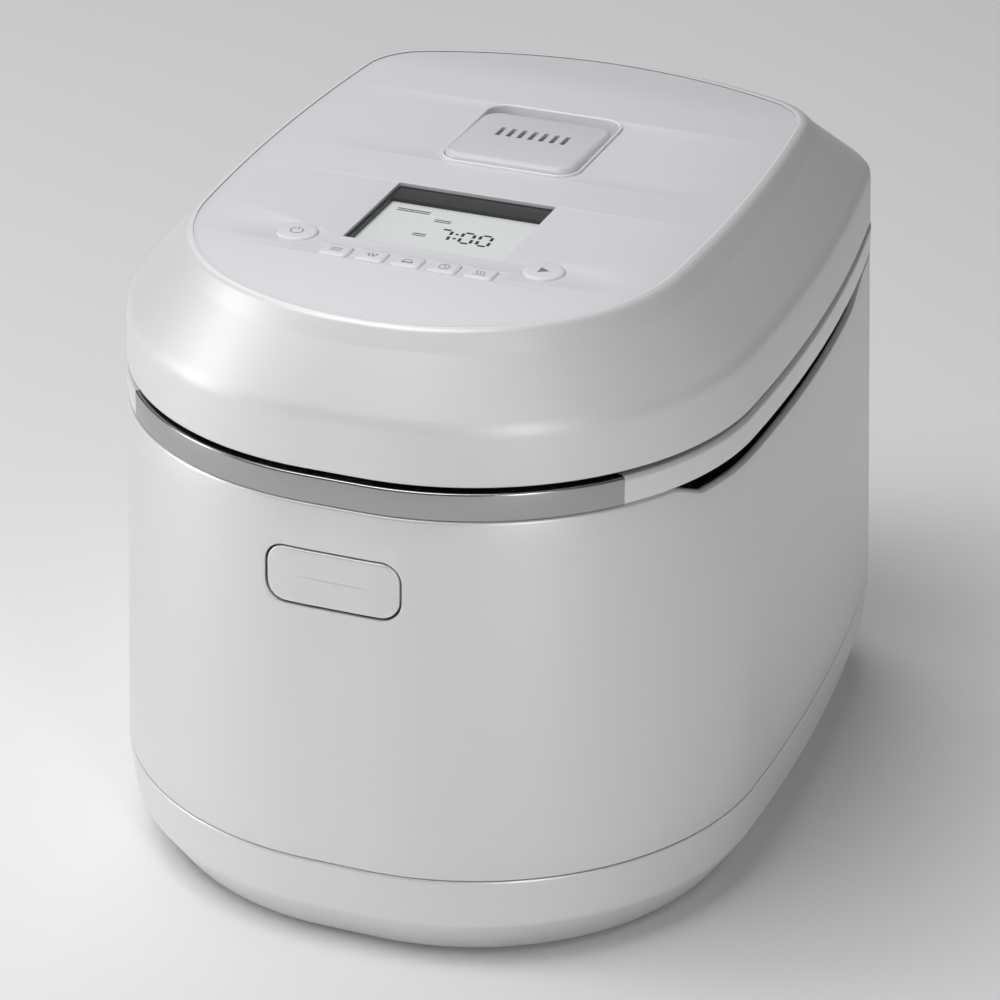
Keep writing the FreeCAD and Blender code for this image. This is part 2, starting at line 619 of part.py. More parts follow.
# ---------------------------------------------------------------- gas and electrics
def gas_valve():
    body = new_body("gas_valve")
    add_slab(body, "XY", "valve_low", "valve_high", rectangle_of(
        "-valve_width / 2", "valve_width / 2", "valve_front + 2", "valve_rear"))
    for side in (-1, 1):
        add_slab(body, "XY", "valve_high", "valve_high + 24", circle_of(f"{side} * 11", "120", "9"))


def gas_injector():
    body = new_body("gas_injector")
    add_slab(body, "XZ", "tube_end - 6", "valve_front - 4", circle_of("0", "tube_height", "2.5"))
    add_slab(body, "XZ", "valve_front - 4", "valve_front + 2", circle_of("0", "tube_height", "5"))
    cut_slab(body, "XZ", "tube_end - 7", "valve_front + 2.5", circle_of("0", "tube_height", "0.5"))


def gas_pipe():
    """A bent tube from the valve's side to the back of the hose connector."""
    body = new_body("gas_pipe")
    path = new_sketch(body, "XY", "gas_height - 12")
    begin_y = size("pipe_y")
    bend = size("pipe_bend")
    end_x = size("gas_x")
    turn_x = end_x - bend
    turn_y = begin_y + bend
    start = FreeCAD.Vector(size("valve_width / 2"), begin_y, 0)
    path.addGeometry(Part.LineSegment(start, FreeCAD.Vector(turn_x, begin_y, 0)))
    arc = Part.Circle(FreeCAD.Vector(turn_x, turn_y, 0), FreeCAD.Vector(0, 0, 1), bend)
    path.addGeometry(Part.ArcOfCircle(arc, -math.pi / 2, 0))
    path.addGeometry(Part.LineSegment(FreeCAD.Vector(end_x, turn_y, 0),
                                      FreeCAD.Vector(end_x, size("block_front"), 0)))
    profile = new_sketch(body, "YZ", "valve_width / 2")
    add_circle(profile, "pipe_y", "gas_height - 12", "pipe_radius")
    add_circle(profile, "pipe_y", "gas_height - 12", "pipe_radius - pipe_wall")
    pipe = body.newObject("PartDesign::AdditivePipe", "gas_pipe_sweep")
    pipe.Profile = profile
    pipe.Spine = path
    body.Tip = None
    checked(body, pipe, removes=False)


def gas_connector():
    """A block inside the rear wall with the hose nipple standing out through it."""
    body = new_body("gas_connector")
    add_slab(body, "XZ", "block_front", "block_rear", rectangle_of(
        "gas_x - 13", "gas_x + 13", "gas_height - 18", "gas_height + 10"))
    add_slab(body, "XZ", "block_rear", "hose_seat", circle_of("gas_x", "gas_height", "11.5"))
    add_slab(body, "XZ", "hose_seat", "gas_reach", circle_of("gas_x", "gas_height", "hose_radius"))
    cut_slab(body, "XZ", "146", "gas_reach + 1", circle_of("gas_x", "gas_height", "hose_radius - 1.8"))


def mains_gland():
    body = new_body("mains_gland")
    add_slab(body, "XZ", "148", "150.6", circle_of("inlet_x", "inlet_height", "inlet_radius + 3"))
    add_slab(body, "XZ", "150.6", "155.2", circle_of("inlet_x", "inlet_height", "inlet_radius"))
    add_slab(body, "XZ", "155.2", "159", circle_of("inlet_x", "inlet_height", "inlet_radius + 2"))
    cut_slab(body, "XZ", "147", "161", circle_of("inlet_x", "inlet_height", "inlet_bore"))


def power_board():
    body = new_body("power_board")
    front = "power_board_y"
    add_slab(body, "XZ", front, f"{front} + board_thickness", rectangle_of("-46", "46", "52", "128"))
    add_slab(body, "XZ", f"{front} - 15", front, rectangle_of("-40", "-12", "58", "84"))
    add_slab(body, "XZ", f"{front} - 10", front, rectangle_of("0", "12", "60", "80"))
    add_slab(body, "XZ", f"{front} - 12", front, circle_of("28", "70", "6"))
    add_slab(body, "XZ", f"{front} - 8", front, rectangle_of("-36", "-20", "98", "112"))
    add_slab(body, "XZ", f"{front} - 6", front, rectangle_of("8", "36", "100", "108"))


def igniter_unit():
    body = new_body("igniter_unit")
    add_slab(body, "XY", "78", "104", rectangle_of("-84", "-46", "112", "134"))
    add_slab(body, "XZ", "106", "112", circle_of("-65", "90", "4"))


# ---------------------------------------------------------------- latch and open button
def open_button():
    body = new_body("open_button")
    face = "button_face"
    back = "button_face + button_thickness"
    add_slab(body, "XZ", face, back, rounded_of(
        "-button_half", "button_half", "button_low", "button_high", "button_corner"))
    keep_inside(body, "body", "-0.9", "button_low - 1", "button_high + 1")
    add_slab(body, "XZ", back, f"{back} + button_flange", rectangle_of(
        "-button_half + 7", "button_half - 7", "button_low - 2", "button_high + 2"))
    add_slab(body, "XZ", f"{back} + button_flange", "pivot_y - 2", rectangle_of(
        "-3", "3", "153 - button_stem", "153 + button_stem"))


def latch_bracket():
    body = new_body("latch_bracket")
    add_slab(body, "XZ", "bracket_face", "bracket_face + 2", rectangle_of("-26", "26", "140", "172"))
    add_slab(body, "XY", "134", "140", rectangle_of("-26", "26", "bracket_face", "bracket_face + 6"))
    for side in (-1, 1):
        ends = sorted((f"{side} * 13", f"{side} * 15"), key=size)
        add_slab(body, "YZ", ends[0], ends[1], rectangle_of(
            "pivot_y - 2.8", "bracket_face", "pivot_height - 6", "pivot_height + 6"))
    cut_slab(body, "YZ", "-16", "16", circle_of("pivot_y", "pivot_height", "pivot_radius"))


def latch_pin():
    body = new_body("latch_pin")
    add_slab(body, "YZ", "-16.5", "16.5", circle_of("pivot_y", "pivot_height", "pivot_radius"))


def latch_lever():
    body = new_body("latch_lever")
    stem = [("pivot_y - 1.5", "149"), ("pivot_y + 1.5", "149"), ("pivot_y + 1.5", "hook_height + 3"),
            ("pivot_y - 1.5", "hook_height + 3")]
    add_slab(body, "YZ", "-lever_width / 2", "lever_width / 2", polygon_of(stem))
    add_slab(body, "YZ", "-lever_width / 2 - 3", "lever_width / 2 + 3", circle_of(
        "pivot_y", "pivot_height", "2.7"))
    add_slab(body, "YZ", "-lever_width / 2", "lever_width / 2", polygon_of([
        ("pivot_y + 1.5", "hook_height - 2"), ("catch_y + 1.2", "hook_height - 2"),
        ("catch_y + 1.2", "hook_height - 0.5"), ("pivot_y + 1.5", "hook_height + 3")]))
    cut_slab(body, "YZ", "-20", "20", circle_of("pivot_y", "pivot_height", "pivot_radius + running_gap"))


def lid_catch():
    """A plate that hangs from the lid, with a window that the hook enters."""
    body = new_body("lid_catch")
    near = "catch_y - catch_plate / 2"
    far = "catch_y + catch_plate / 2"
    add_slab(body, "XZ", near, far, rectangle_of("-9", "9", "hook_height - 7", "frame_low"))
    cut_slab(body, "XZ", f"{near} - 1", f"{far} + 1", rectangle_of(
        "-6.2", "6.2", "hook_height - 2.6", "hook_height + 4.5"))
    add_slab(body, "XY", "frame_low - 1.4", "frame_low", rectangle_of("-9", "9", far, f"{far} + 9"))


# ---------------------------------------------------------------- hinge
def hinge_brackets():
    body = new_body("hinge_brackets")
    ear = [("hinge_y - 28", "hinge_height - 8"), ("hinge_y", "hinge_height - 7"),
           ("hinge_y + 6", "hinge_height - 3"), ("hinge_y + 6", "hinge_height + 3"),
           ("hinge_y + 2", "hinge_height + 6"), ("hinge_y - 5", "hinge_height + 6"),
           ("hinge_y - 9", "hinge_height + 3.5"), ("hinge_y - 28", "hinge_height + 3.5")]
    for side in (-1, 1):
        for start in ("arm_inner - 0.6 - ear", "arm_outer + 0.6"):
            ends = sorted((f"{side} * ({start})", f"{side} * ({start} + ear)"), key=size)
            add_slab(body, "YZ", ends[0], ends[1], polygon_of(ear))
    add_slab(body, "XY", "hinge_height - 10", "hinge_height - 8", rectangle_of(
        "-arm_outer - 3.6", "arm_outer + 3.6", "hinge_y - 28", "hinge_y - 10"))
    cut_slab(body, "YZ", "-70", "70", circle_of("hinge_y", "hinge_height", "pin_radius"))


def hinge_pin():
    body = new_body("hinge_pin")
    add_slab(body, "YZ", "-pin_half", "pin_half", circle_of("hinge_y", "hinge_height", "pin_radius"))


def lid_hinge_arms():
    body = new_body("lid_hinge_arms")
    arm = [("hinge_y - 4.5", "hinge_height + 2"), ("hinge_y + 4.5", "hinge_height + 2"),
           ("hinge_y + 4.5", "hinge_height + 10"), ("hinge_y - 1", "frame_low + 5"), ("118", "frame_low + 5"),
           ("118", "frame_low + frame_thickness"), ("hinge_y - 5.4", "frame_low + frame_thickness"),
           ("hinge_y - 4.5", "hinge_height + 11")]
    for side in (-1, 1):
        ends = sorted((f"{side} * arm_inner", f"{side} * arm_outer"), key=size)
        add_slab(body, "YZ", ends[0], ends[1], circle_of("hinge_y", "hinge_height", "arm_radius"))
        add_slab(body, "YZ", ends[0], ends[1], polygon_of(arm))
    add_slab(body, "XY", "frame_low + frame_thickness", "frame_low + 5", rectangle_of(
        "-arm_outer", "arm_outer", "118", "128"))
    cut_slab(body, "YZ", "-70", "70", circle_of("hinge_y", "hinge_height", "pin_radius + running_gap"))


# ---------------------------------------------------------------- lid
def lid_shell():
    body = new_body("lid_shell")
    edge = ("body", "lid_edge_inset", "lid_bottom")
    step = ("body", "lid_step_inset", "lid_step")
    loft(body, [edge, step])
    loft(body, [step, ("panel", "0", "panel_height")])
    inner_step = ("body", "lid_step_inset + lid_wall", "lid_step - 1")
    loft(body, [("body", "lid_edge_inset + lid_wall", "lid_bottom"), inner_step], removes=True)
    loft(body, [inner_step, ("panel", "1.2", "panel_height - lid_wall")], removes=True)
    cut_slab(body, "XY", "panel_height - panel_thickness", "panel_height + 1", outline_of("panel", "0.6"))
    cut_slab(body, "XY", "panel_height - lid_wall - 2", "panel_height", outline_of("panel", "5"))
    for side in (-1, 1):
        ends = sorted((f"{side} * (arm_inner - 0.5)", f"{side} * (arm_outer + 0.5)"), key=size)
        cut_slab(body, "XZ", "140", "165", rectangle_of(ends[0], ends[1], "lid_bottom - 1", "frame_low + 6"))


def key_places():
    """Name and place of each key of the row under the display."""
    names = ("key_menu", "key_texture", "key_crust", "key_timer", "key_keep_warm")
    return [(name, f"{step} * key_pitch") for step, name in enumerate(names, -2)]


def round_key_places():
    return [("key_cancel", "-round_key_x"), ("key_cook", "round_key_x")]


def key_rectangle(across, grow):
    return rounded_of(f"{across} - key_half_width - {grow}", f"{across} + key_half_width + {grow}",
                      f"key_row - key_half_depth - {grow}", f"key_row + key_half_depth + {grow}",
                      f"key_corner + {grow}")


def steam_outline(inset):
    return rounded_of(f"{inset} - steam_half", f"steam_half - ({inset})", f"steam_front + {inset}",
                      f"steam_rear - ({inset})", f"steam_corner - ({inset})")


def top_panel():
    body = new_body("top_panel")
    low = "panel_height - panel_thickness"
    add_slab(body, "XY", low, "panel_height", outline_of("panel", "0.6 + panel_gap"))
    holes = [rectangle_of("-window_half", "window_half", "window_front", "window_rear")]
    holes += [key_rectangle(across, "key_gap") for name, across in key_places()]
    holes += [circle_of(across, "round_key_y", "round_key_radius + key_gap")
              for name, across in round_key_places()]
    cut_slab(body, "XY", f"{low} - 1", "panel_height + 1", several(*holes))
    cut_slab(body, "XY", f"{low} - 1", "panel_height + 1", steam_outline("0"))


def keys():
    low = "panel_height - key_depth"
    top = "panel_height + key_proud"
    for name, across in key_places():
        body = new_body(name)
        add_slab(body, "XY", low, top, key_rectangle(across, "0"))
        add_slab(body, "XY", low, f"{low} + key_rim", key_rectangle(across, "1"))
    for name, across in round_key_places():
        body = new_body(name)
        add_slab(body, "XY", low, top, circle_of(across, "round_key_y", "round_key_radius"))
        add_slab(body, "XY", low, f"{low} + key_rim", circle_of(
            across, "round_key_y", "round_key_radius + 1.2"))


def display():
    window = new_body("lcd_window")
    add_slab(window, "XY", "panel_height - panel_thickness", "panel_height - 0.2", rectangle_of(
        "-window_half + 0.1", "window_half - 0.1", "window_front + 0.1", "window_rear - 0.1"))
    module = new_body("lcd_module")
    add_slab(module, "XY", "board_height + board_thickness", "panel_height - lcd_depth", rectangle_of(
        "-window_half + 1", "window_half - 1", "window_front + 1", "window_rear - 1"))


def control_board():
    body = new_body("control_board")
    add_slab(body, "XY", "board_height", "board_height + board_thickness", rectangle_of(
        "-66", "66", "-100", "-8"))
    for name, across in key_places():
        add_slab(body, "XY", "board_height + board_thickness", "panel_height - key_depth - 1.2", circle_of(
            across, "key_row", "2"))
    for name, across in round_key_places():
        add_slab(body, "XY", "board_height + board_thickness", "panel_height - key_depth - 1.2", circle_of(
            across, "round_key_y", "2"))


def steam_housing():
    """The well in the panel that the steam cap sits in, with its raised lip."""
    body = new_body("steam_housing")
    add_slab(body, "XY", "steam_floor", "panel_height + steam_lip", steam_outline("0.1"))
    cut_slab(body, "XY", "steam_floor + steam_wall", "panel_height + 2", steam_outline("steam_wall"))
    cut_slab(body, "XY", "steam_floor - 1", "steam_floor + 3", circle_of("0", "slot_y", "duct_radius"))


def steam_cap():
    """The lift-off cap: it stands proud at the front, and a finger goes down behind it."""
    body = new_body("steam_cap")
    front = "steam_front + steam_wall + cap_gap"
    rear = "steam_rear - steam_wall - finger_gap"
    half = "(steam_half - steam_wall - cap_gap)"
    add_slab(body, "YZ", f"-{half}", half, polygon_of([
        (front, "steam_floor + 6"), (rear, "steam_floor + 6"),
        (rear, "steam_cap_rear"), (front, "steam_cap_front")]))
    fillet(body, "steam_corner - steam_wall - cap_gap", upright)
    cut_slab(body, "YZ", f"2 - {half}", f"{half} - 2", polygon_of([
        (f"{front} + 2", "steam_floor + 5"), (f"{rear} - 2", "steam_floor + 5"),
        (f"{rear} - 2", "steam_cap_rear - 2"), (f"{front} + 2", "steam_cap_front - 2")]))
    places = [f"{step} * slot_pitch" for step in range(-3, 4)]
    slots = [rectangle_of(f"{place} - slot_half_width", f"{place} + slot_half_width",
                          "slot_y - slot_half_length", "slot_y + slot_half_length") for place in places]
    cut_slab(body, "XY", "steam_cap_rear - 4", "steam_cap_front + 2", several(*slots))


def steam_duct():
    body = new_body("steam_duct")
    add_slab(body, "XY", "inner_lid_low + 3", "steam_floor + steam_wall", circle_of(
        "0", "slot_y", "duct_radius - 0.1"))
    cut_slab(body, "XY", "inner_lid_low + 2", "steam_floor + 3", circle_of(
        "0", "slot_y", "duct_radius - duct_wall"))


def lid_inner_frame():
    body = new_body("lid_inner_frame")
    top = "frame_low + frame_thickness"
    add_slab(body, "XY", "frame_low", top, outline_of("body", "lid_edge_inset + lid_wall + 0.4"))
    cut_slab(body, "XY", "frame_low - 1", f"{top} + 1", circle_of("0", "slot_y", "duct_radius + 0.2"))


def lid_insulation():
    body = new_body("lid_insulation")
    low = "frame_low + frame_thickness"
    add_slab(body, "XY", low, f"{low} + 6", circle_of("0", "pot_middle", "95"))
    cut_slab(body, "XY", f"{low} - 1", f"{low} + 7", circle_of("0", "slot_y", "duct_radius + 0.5"))


def inner_lid():
    body = new_body("inner_lid")
    add_slab(body, "XY", "inner_lid_low", "frame_low", circle_of("0", "pot_middle", "inner_lid_radius"))
    cut_slab(body, "XY", "inner_lid_low - 1", "frame_low - 1", circle_of(
        "0", "pot_middle", "inner_lid_radius - 14"))
    cut_slab(body, "XY", "inner_lid_low - 1", "frame_low + 1", circle_of("0", "slot_y", "duct_radius + 0.2"))


def inner_lid_gasket():
    body = new_body("inner_lid_gasket", "pot_middle")
    turned(body, [("inner_lid_radius - 9", "inner_lid_low"), ("inner_lid_radius - 6", "gasket_low"),
                  ("inner_lid_radius - 1", "gasket_low"), ("inner_lid_radius - 1", "inner_lid_low")])


# ---------------------------------------------------------------- fasteners
def screw_places():
    return [("66", "-92"), ("-66", "-92"), ("84", "40"), ("-84", "40"), ("60", "112"), ("-60", "112")]


def base_screws():
    """Pan head screws up through the bottom plate, with their heads below it."""
    body = new_body("base_screws")
    seat = "foot_height + wall"
    for across, along in screw_places():
        add_slab(body, "XY", f"{seat} - screw_head", seat, circle_of(across, along, "screw_radius * 2"))
        add_slab(body, "XY", seat, f"{seat} + screw_length", circle_of(across, along, "screw_radius"))


# ---------------------------------------------------------------- springs, shaped by a helix
def spring(start, axis, radius, wire, length, turns):
    """A close-ended coil spring along an axis, as one swept solid."""
    coil = Part.makeHelix(length / turns, length, radius)
    circle = Part.Circle(FreeCAD.Vector(radius, 0, 0), FreeCAD.Vector(0, 1, 0), wire)
    profile = Part.Wire([circle.toShape()])
    solid = Part.Wire(coil.Edges).makePipeShell([profile], True, True)
    turn = FreeCAD.Rotation(FreeCAD.Vector(0, 0, 1), FreeCAD.Vector(*axis))
    solid.Placement = FreeCAD.Placement(FreeCAD.Vector(*start), turn)
    return solid


def add_springs(label, solids):
    feature = doc.addObject("Part::Feature", label)
    feature.Label = label
    feature.Shape = Part.makeCompound(solids)
    feature.Placement = FreeCAD.Placement(FreeCAD.Vector(0, size("centre_shift"), 0), FreeCAD.Rotation())
    sub_parts.append(feature)


def springs():
    """Each spring stands clear of its seats by its wire's radius and a small gap.

    The latch's spring is wound round its pin: it turns the lever, and the lever pushes the button out again.
    """
    gap = size("fit_gap")
    wire = size("small_wire")
    knuckle = size("lever_width / 2 + 3")
    add_springs("latch_spring", [
        spring((knuckle + gap + wire, size("pivot_y"), size("pivot_height")), (1, 0, 0), 2.3, wire,
               13 - knuckle - 2 * (gap + wire), 5)])
    low = size("burner_base + 2")
    high = size("pot_base - fit_gap - sensor_wall")
    wire = size("sensor_spring_wire")
    add_springs("sensor_spring", [
        spring((0, size("pot_middle"), low + gap + wire), (0, 0, 1), size("sensor_spring_radius"), wire,
               high - low - 2 * (gap + wire), 8)])
    half = size("arm_inner - 0.6 - ear") - gap - wire
    add_springs("hinge_spring", [
        spring((-half, size("hinge_y"), size("hinge_height")), (1, 0, 0), 4.6, wire, 2 * half, 16)])


BUILDERS = (
    base_ring, rubber_feet, bottom_plate, outer_body, front_band, handles, grip_pockets, rear_cover, top_deck,
    inner_pot, heat_chamber, heat_shield, drip_tray, pot_trivet, burner, sensor, ignition,
    gas_valve, gas_injector, gas_pipe, gas_connector, mains_gland, power_board, igniter_unit,
    open_button, latch_bracket, latch_pin, latch_lever, lid_catch, hinge_brackets, hinge_pin, lid_hinge_arms,
    lid_shell, top_panel, keys, display, control_board, steam_housing, steam_cap, steam_duct,
    lid_inner_frame, lid_insulation, inner_lid, inner_lid_gasket, base_screws, springs,
)
for build in BUILDERS:
    build()
doc.recompute()

# ---------------------------------------------------------------- checks and files
for item in doc.Objects:
    if "Invalid" in item.State or "Error" in item.State:
        raise ValueError(f"{item.Label} did not recompute")
for part in sub_parts:
    if part.Shape.isNull() or not part.Shape.isValid():
        raise ValueError(f"{part.Label} has no valid shape")
os.makedirs("parts", exist_ok=True)
for part in sub_parts:
    part.Shape.exportStep(f"parts/{part.Label}.step")
print(len(sub_parts), "sub-parts")
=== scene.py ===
"""Table-top gas rice cooker: its visible shells, details and materials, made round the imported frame.

Lengths in the script are millimetres; MM turns them into Blender's metres.  +Z up, -Y the front.
"""
import math

import bmesh
import bpy
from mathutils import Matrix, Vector


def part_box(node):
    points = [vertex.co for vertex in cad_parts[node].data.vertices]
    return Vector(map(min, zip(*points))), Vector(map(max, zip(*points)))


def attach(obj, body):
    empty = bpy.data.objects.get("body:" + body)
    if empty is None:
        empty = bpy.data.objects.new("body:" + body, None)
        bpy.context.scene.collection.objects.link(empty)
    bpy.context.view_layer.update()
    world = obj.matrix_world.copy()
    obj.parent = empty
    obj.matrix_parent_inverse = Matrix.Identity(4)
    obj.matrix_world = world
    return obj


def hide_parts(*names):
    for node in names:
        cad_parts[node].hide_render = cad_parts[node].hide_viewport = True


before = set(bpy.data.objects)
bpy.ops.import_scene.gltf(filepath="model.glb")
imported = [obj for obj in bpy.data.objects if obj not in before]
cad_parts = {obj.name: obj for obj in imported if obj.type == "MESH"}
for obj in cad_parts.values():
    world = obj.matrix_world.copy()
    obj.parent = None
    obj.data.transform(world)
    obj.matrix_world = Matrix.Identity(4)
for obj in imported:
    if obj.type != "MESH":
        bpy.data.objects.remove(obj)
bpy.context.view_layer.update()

MM = 0.001
TURN = 2 * math.pi


# ---------------------------------------------------------------- places read from the frame
def low(node):
    """Lowest corner of a CAD node in millimetres."""
    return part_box(node)[0] / MM


def high(node):
    """Highest corner of a CAD node in millimetres."""
    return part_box(node)[1] / MM


MIDDLE = (low("outer_body").y + high("outer_body").y) / 2
HALF_WIDTH = high("handle_right").x
HALF_DEPTH = MIDDLE - low("front_band").y
FLARE = high("outer_body").x - HALF_WIDTH
FOOT = low("base_ring").z
SEAM = low("outer_body").z
BAND_LOW = low("front_band").z
BAND_TOP = high("front_band").z
LID_LOW = low("lid_shell").z
TOP = high("top_panel").z
PANEL_EDGE = 0.9                                    # from the seam to the CAD panel's edge


# ---------------------------------------------------------------- outlines of eight tangent arcs
def outline_arcs(half_width, half_depth, middle, side_middle, radii):
    """The arcs (centre, radius, start, end) of a symmetric outline, anticlockwise.

    The radii run from front to rear: front, front corner, side, rear corner, rear.
    """
    front_r, front_corner, side_r, rear_corner, rear_r = radii
    front = Vector((0, middle - half_depth + front_r))
    rear = Vector((0, middle + half_depth - rear_r))
    side = Vector((half_width - side_r, side_middle))
    near = touching(front, front_r, side, side_r, front_corner, -1)
    far = touching(side, side_r, rear, rear_r, rear_corner, 1)
    stops = [bearing(front, near), bearing(side, near), bearing(side, far), bearing(rear, far)]
    right = [(near, front_corner, stops[0], stops[1]), (side, side_r, stops[1], stops[2]),
             (far, rear_corner, stops[2], stops[3])]
    left = [(Vector((-centre.x, centre.y)), radius, math.pi - end, math.pi - start)
            for centre, radius, start, end in reversed(right)]
    arcs = [(front, front_r, -math.pi - stops[0], stops[0])] + right
    return arcs + [(rear, rear_r, stops[3], math.pi - stops[3])] + left


def touching(first, first_r, second, second_r, radius, toward):
    """Centre of the arc that touches two larger arcs from inside, on the front (-1) or rear (1)."""
    reach_a = first_r - radius
    reach_b = second_r - radius
    gap = (second - first).length
    along = (reach_a ** 2 - reach_b ** 2 + gap ** 2) / (2 * gap)
    aside = math.sqrt(reach_a ** 2 - along ** 2)
    ahead = (second - first) / gap
    foot = first + along * ahead
    across = Vector((-ahead.y, ahead.x)) * aside
    return max((foot + across, foot - across), key=lambda point: toward * point.y)


def bearing(centre, target):
    """Direction from a centre to a target, in radians from +X."""
    return math.atan2(target.y - centre.y, target.x - centre.x)


def facing(arcs, angle):
    """The station (centre, radius, angle) where an outline faces a direction."""
    for centre, radius, start, end in arcs:
        for turned in (angle, angle - TURN):
            if start - 1e-9 <= turned <= end + 1e-9:
                return centre, radius, turned


def stations(outlines, spacing):
    """Stations round several outlines, anticlockwise from the front.

    They are matched by the direction that they face, so that a skin drawn from one outline
    to another has no twist and no creases.
    """
    first = -math.pi / 2
    breaks = {first, first + TURN}
    for arcs in outlines:
        breaks |= {arc[3] if arc[3] > first else arc[3] + TURN for arc in arcs}
    breaks = sorted(turn if turn <= first + TURN else turn - TURN for turn in breaks)
    angles = []
    for start, end in zip(breaks, breaks[1:]):
        widest = max(facing(arcs, (start + end) / 2)[1] for arcs in outlines)
        count = math.ceil(widest * (end - start) / spacing)
        angles += [start + (end - start) * step / count for step in range(count)]
    return [[facing(arcs, angle) for angle in angles] for arcs in outlines]


def at(station, inset):
    """The outline's point at a station, moved in by inset."""
    centre, radius, angle = station
    return centre + (radius - inset) * Vector((math.cos(angle), math.sin(angle)))


PANEL_HALF = high("top_panel").x + PANEL_EDGE
PANEL_FRONT = low("top_panel").y - PANEL_EDGE
PANEL_REAR = high("top_panel").y + PANEL_EDGE
PANEL_MIDDLE = (PANEL_FRONT + PANEL_REAR) / 2
CASING_RADII = (1800, 108.5, 820, 30, 1500)
CASING_SIDE = MIDDLE - 12                           # the side arcs are widest at this Y
PANEL_RADII = (108, 78, 800, 26, 195)
PANEL_SIDE = PANEL_MIDDLE + 8
CASING, PANEL = stations([
    outline_arcs(HALF_WIDTH, HALF_DEPTH, MIDDLE, CASING_SIDE, CASING_RADII),
    outline_arcs(PANEL_HALF, (PANEL_REAR - PANEL_FRONT) / 2, PANEL_MIDDLE, PANEL_SIDE, PANEL_RADII),
], spacing=2.0)


def ring(inset, height, blend=0.0, panel_inset=0.0):
    """A loop round the casing, or part of the way (blend) towards the panel's outline."""
    loop = []
    for outer, inner in zip(CASING, PANEL):
        point = at(outer, inset).lerp(at(inner, panel_inset), blend)
        loop.append(Vector((point.x, point.y, height)))
    return loop


def rounded(points, radii, steps=5):
    """A polyline with its inner corners rounded to the radii given (0 keeps a corner)."""
    path = [Vector(points[0])]
    for before, corner, after, radius in zip(points, points[1:], points[2:], radii):
        corner = Vector(corner)
        back = (Vector(before) - corner).normalized()
        ahead = (Vector(after) - corner).normalized()
        if radius == 0:
            path.append(corner)
            continue
        half = back.angle(ahead) / 2
        reach = radius / math.tan(half)
        start, end = corner + back * reach, corner + ahead * reach
        for step in range(steps + 1):
            t = step / steps
            path.append(start * (1 - t) ** 2 + corner * 2 * t * (1 - t) + end * t ** 2)
    path.append(Vector(points[-1]))
    return path


# ---------------------------------------------------------------- mesh helpers
def make_object(name, mesh, sharp=35):
    """A scene object of a mesh, smooth but for its edges over the sharp angle."""
    for polygon in mesh.polygons:
        polygon.use_smooth = True
    mesh.set_sharp_from_angle(angle=math.radians(sharp))
    piece = bpy.data.objects.new(name, mesh)
    bpy.context.scene.collection.objects.link(piece)
    return piece


def from_bmesh(name, made, sharp=35):
    """An object of a finished bmesh, with its doubled corners joined and its faces turned outwards."""
    bmesh.ops.remove_doubles(made, verts=made.verts, dist=1e-7)
    bmesh.ops.recalc_face_normals(made, faces=made.faces)
    mesh = bpy.data.meshes.new(name)
    made.to_mesh(mesh)
    made.free()
    return make_object(name, mesh, sharp)


def swept(name, rings, closed=True, caps=False, sharp=35):
    """A skin through loops of equal length; closed joins the last loop to the first."""
    made = bmesh.new()
    rows = [[made.verts.new(point * MM) for point in loop] for loop in rings]
    pairs = list(zip(rows, rows[1:]))
    if closed:
        pairs.append((rows[-1], rows[0]))
    for lower, upper in pairs:
        for number in range(len(lower)):
            following = (number + 1) % len(lower)
            made.faces.new((lower[number], lower[following], upper[following], upper[number]))
    if caps:
        made.faces.new(rows[0])
        made.faces.new(list(reversed(rows[-1])))
    return from_bmesh(name, made, sharp)


def span(name, rings, first, last, sharp=35):
    """A length of a closed profile swept round the casing between two stations, with flat ends."""
    count = len(rings[0])
    picked = [number % count for number in range(first, last + 1)]
    made = bmesh.new()
    rows = [[made.verts.new(loop[number] * MM) for loop in rings] for number in picked]
    for near, far in zip(rows, rows[1:]):
        for number in range(len(near)):
            following = (number + 1) % len(near)
            made.faces.new((near[number], near[following], far[following], far[number]))
    made.faces.new(rows[0])
    made.faces.new(list(reversed(rows[-1])))
    return from_bmesh(name, made, sharp)


def rounded_loop(half_x, half_y, radius, centre=(0, 0), steps=8):
    """A rounded rectangle, anticlockwise."""
    loop = []
    for number, (side_x, side_y) in enumerate(((1, -1), (1, 1), (-1, 1), (-1, -1))):
        hub = (centre[0] + side_x * (half_x - radius), centre[1] + side_y * (half_y - radius))
        for step in range(steps + 1):
            angle = (number - 1) * math.pi / 2 + step / steps * math.pi / 2
            loop.append(Vector((hub[0] + radius * math.cos(angle), hub[1] + radius * math.sin(angle))))
    return loop


def circle_loop(radius, centre=(0, 0), count=48):
    """A circle, anticlockwise."""
    return [Vector((centre[0] + radius * math.cos(TURN * step / count),
                    centre[1] + radius * math.sin(TURN * step / count))) for step in range(count)]


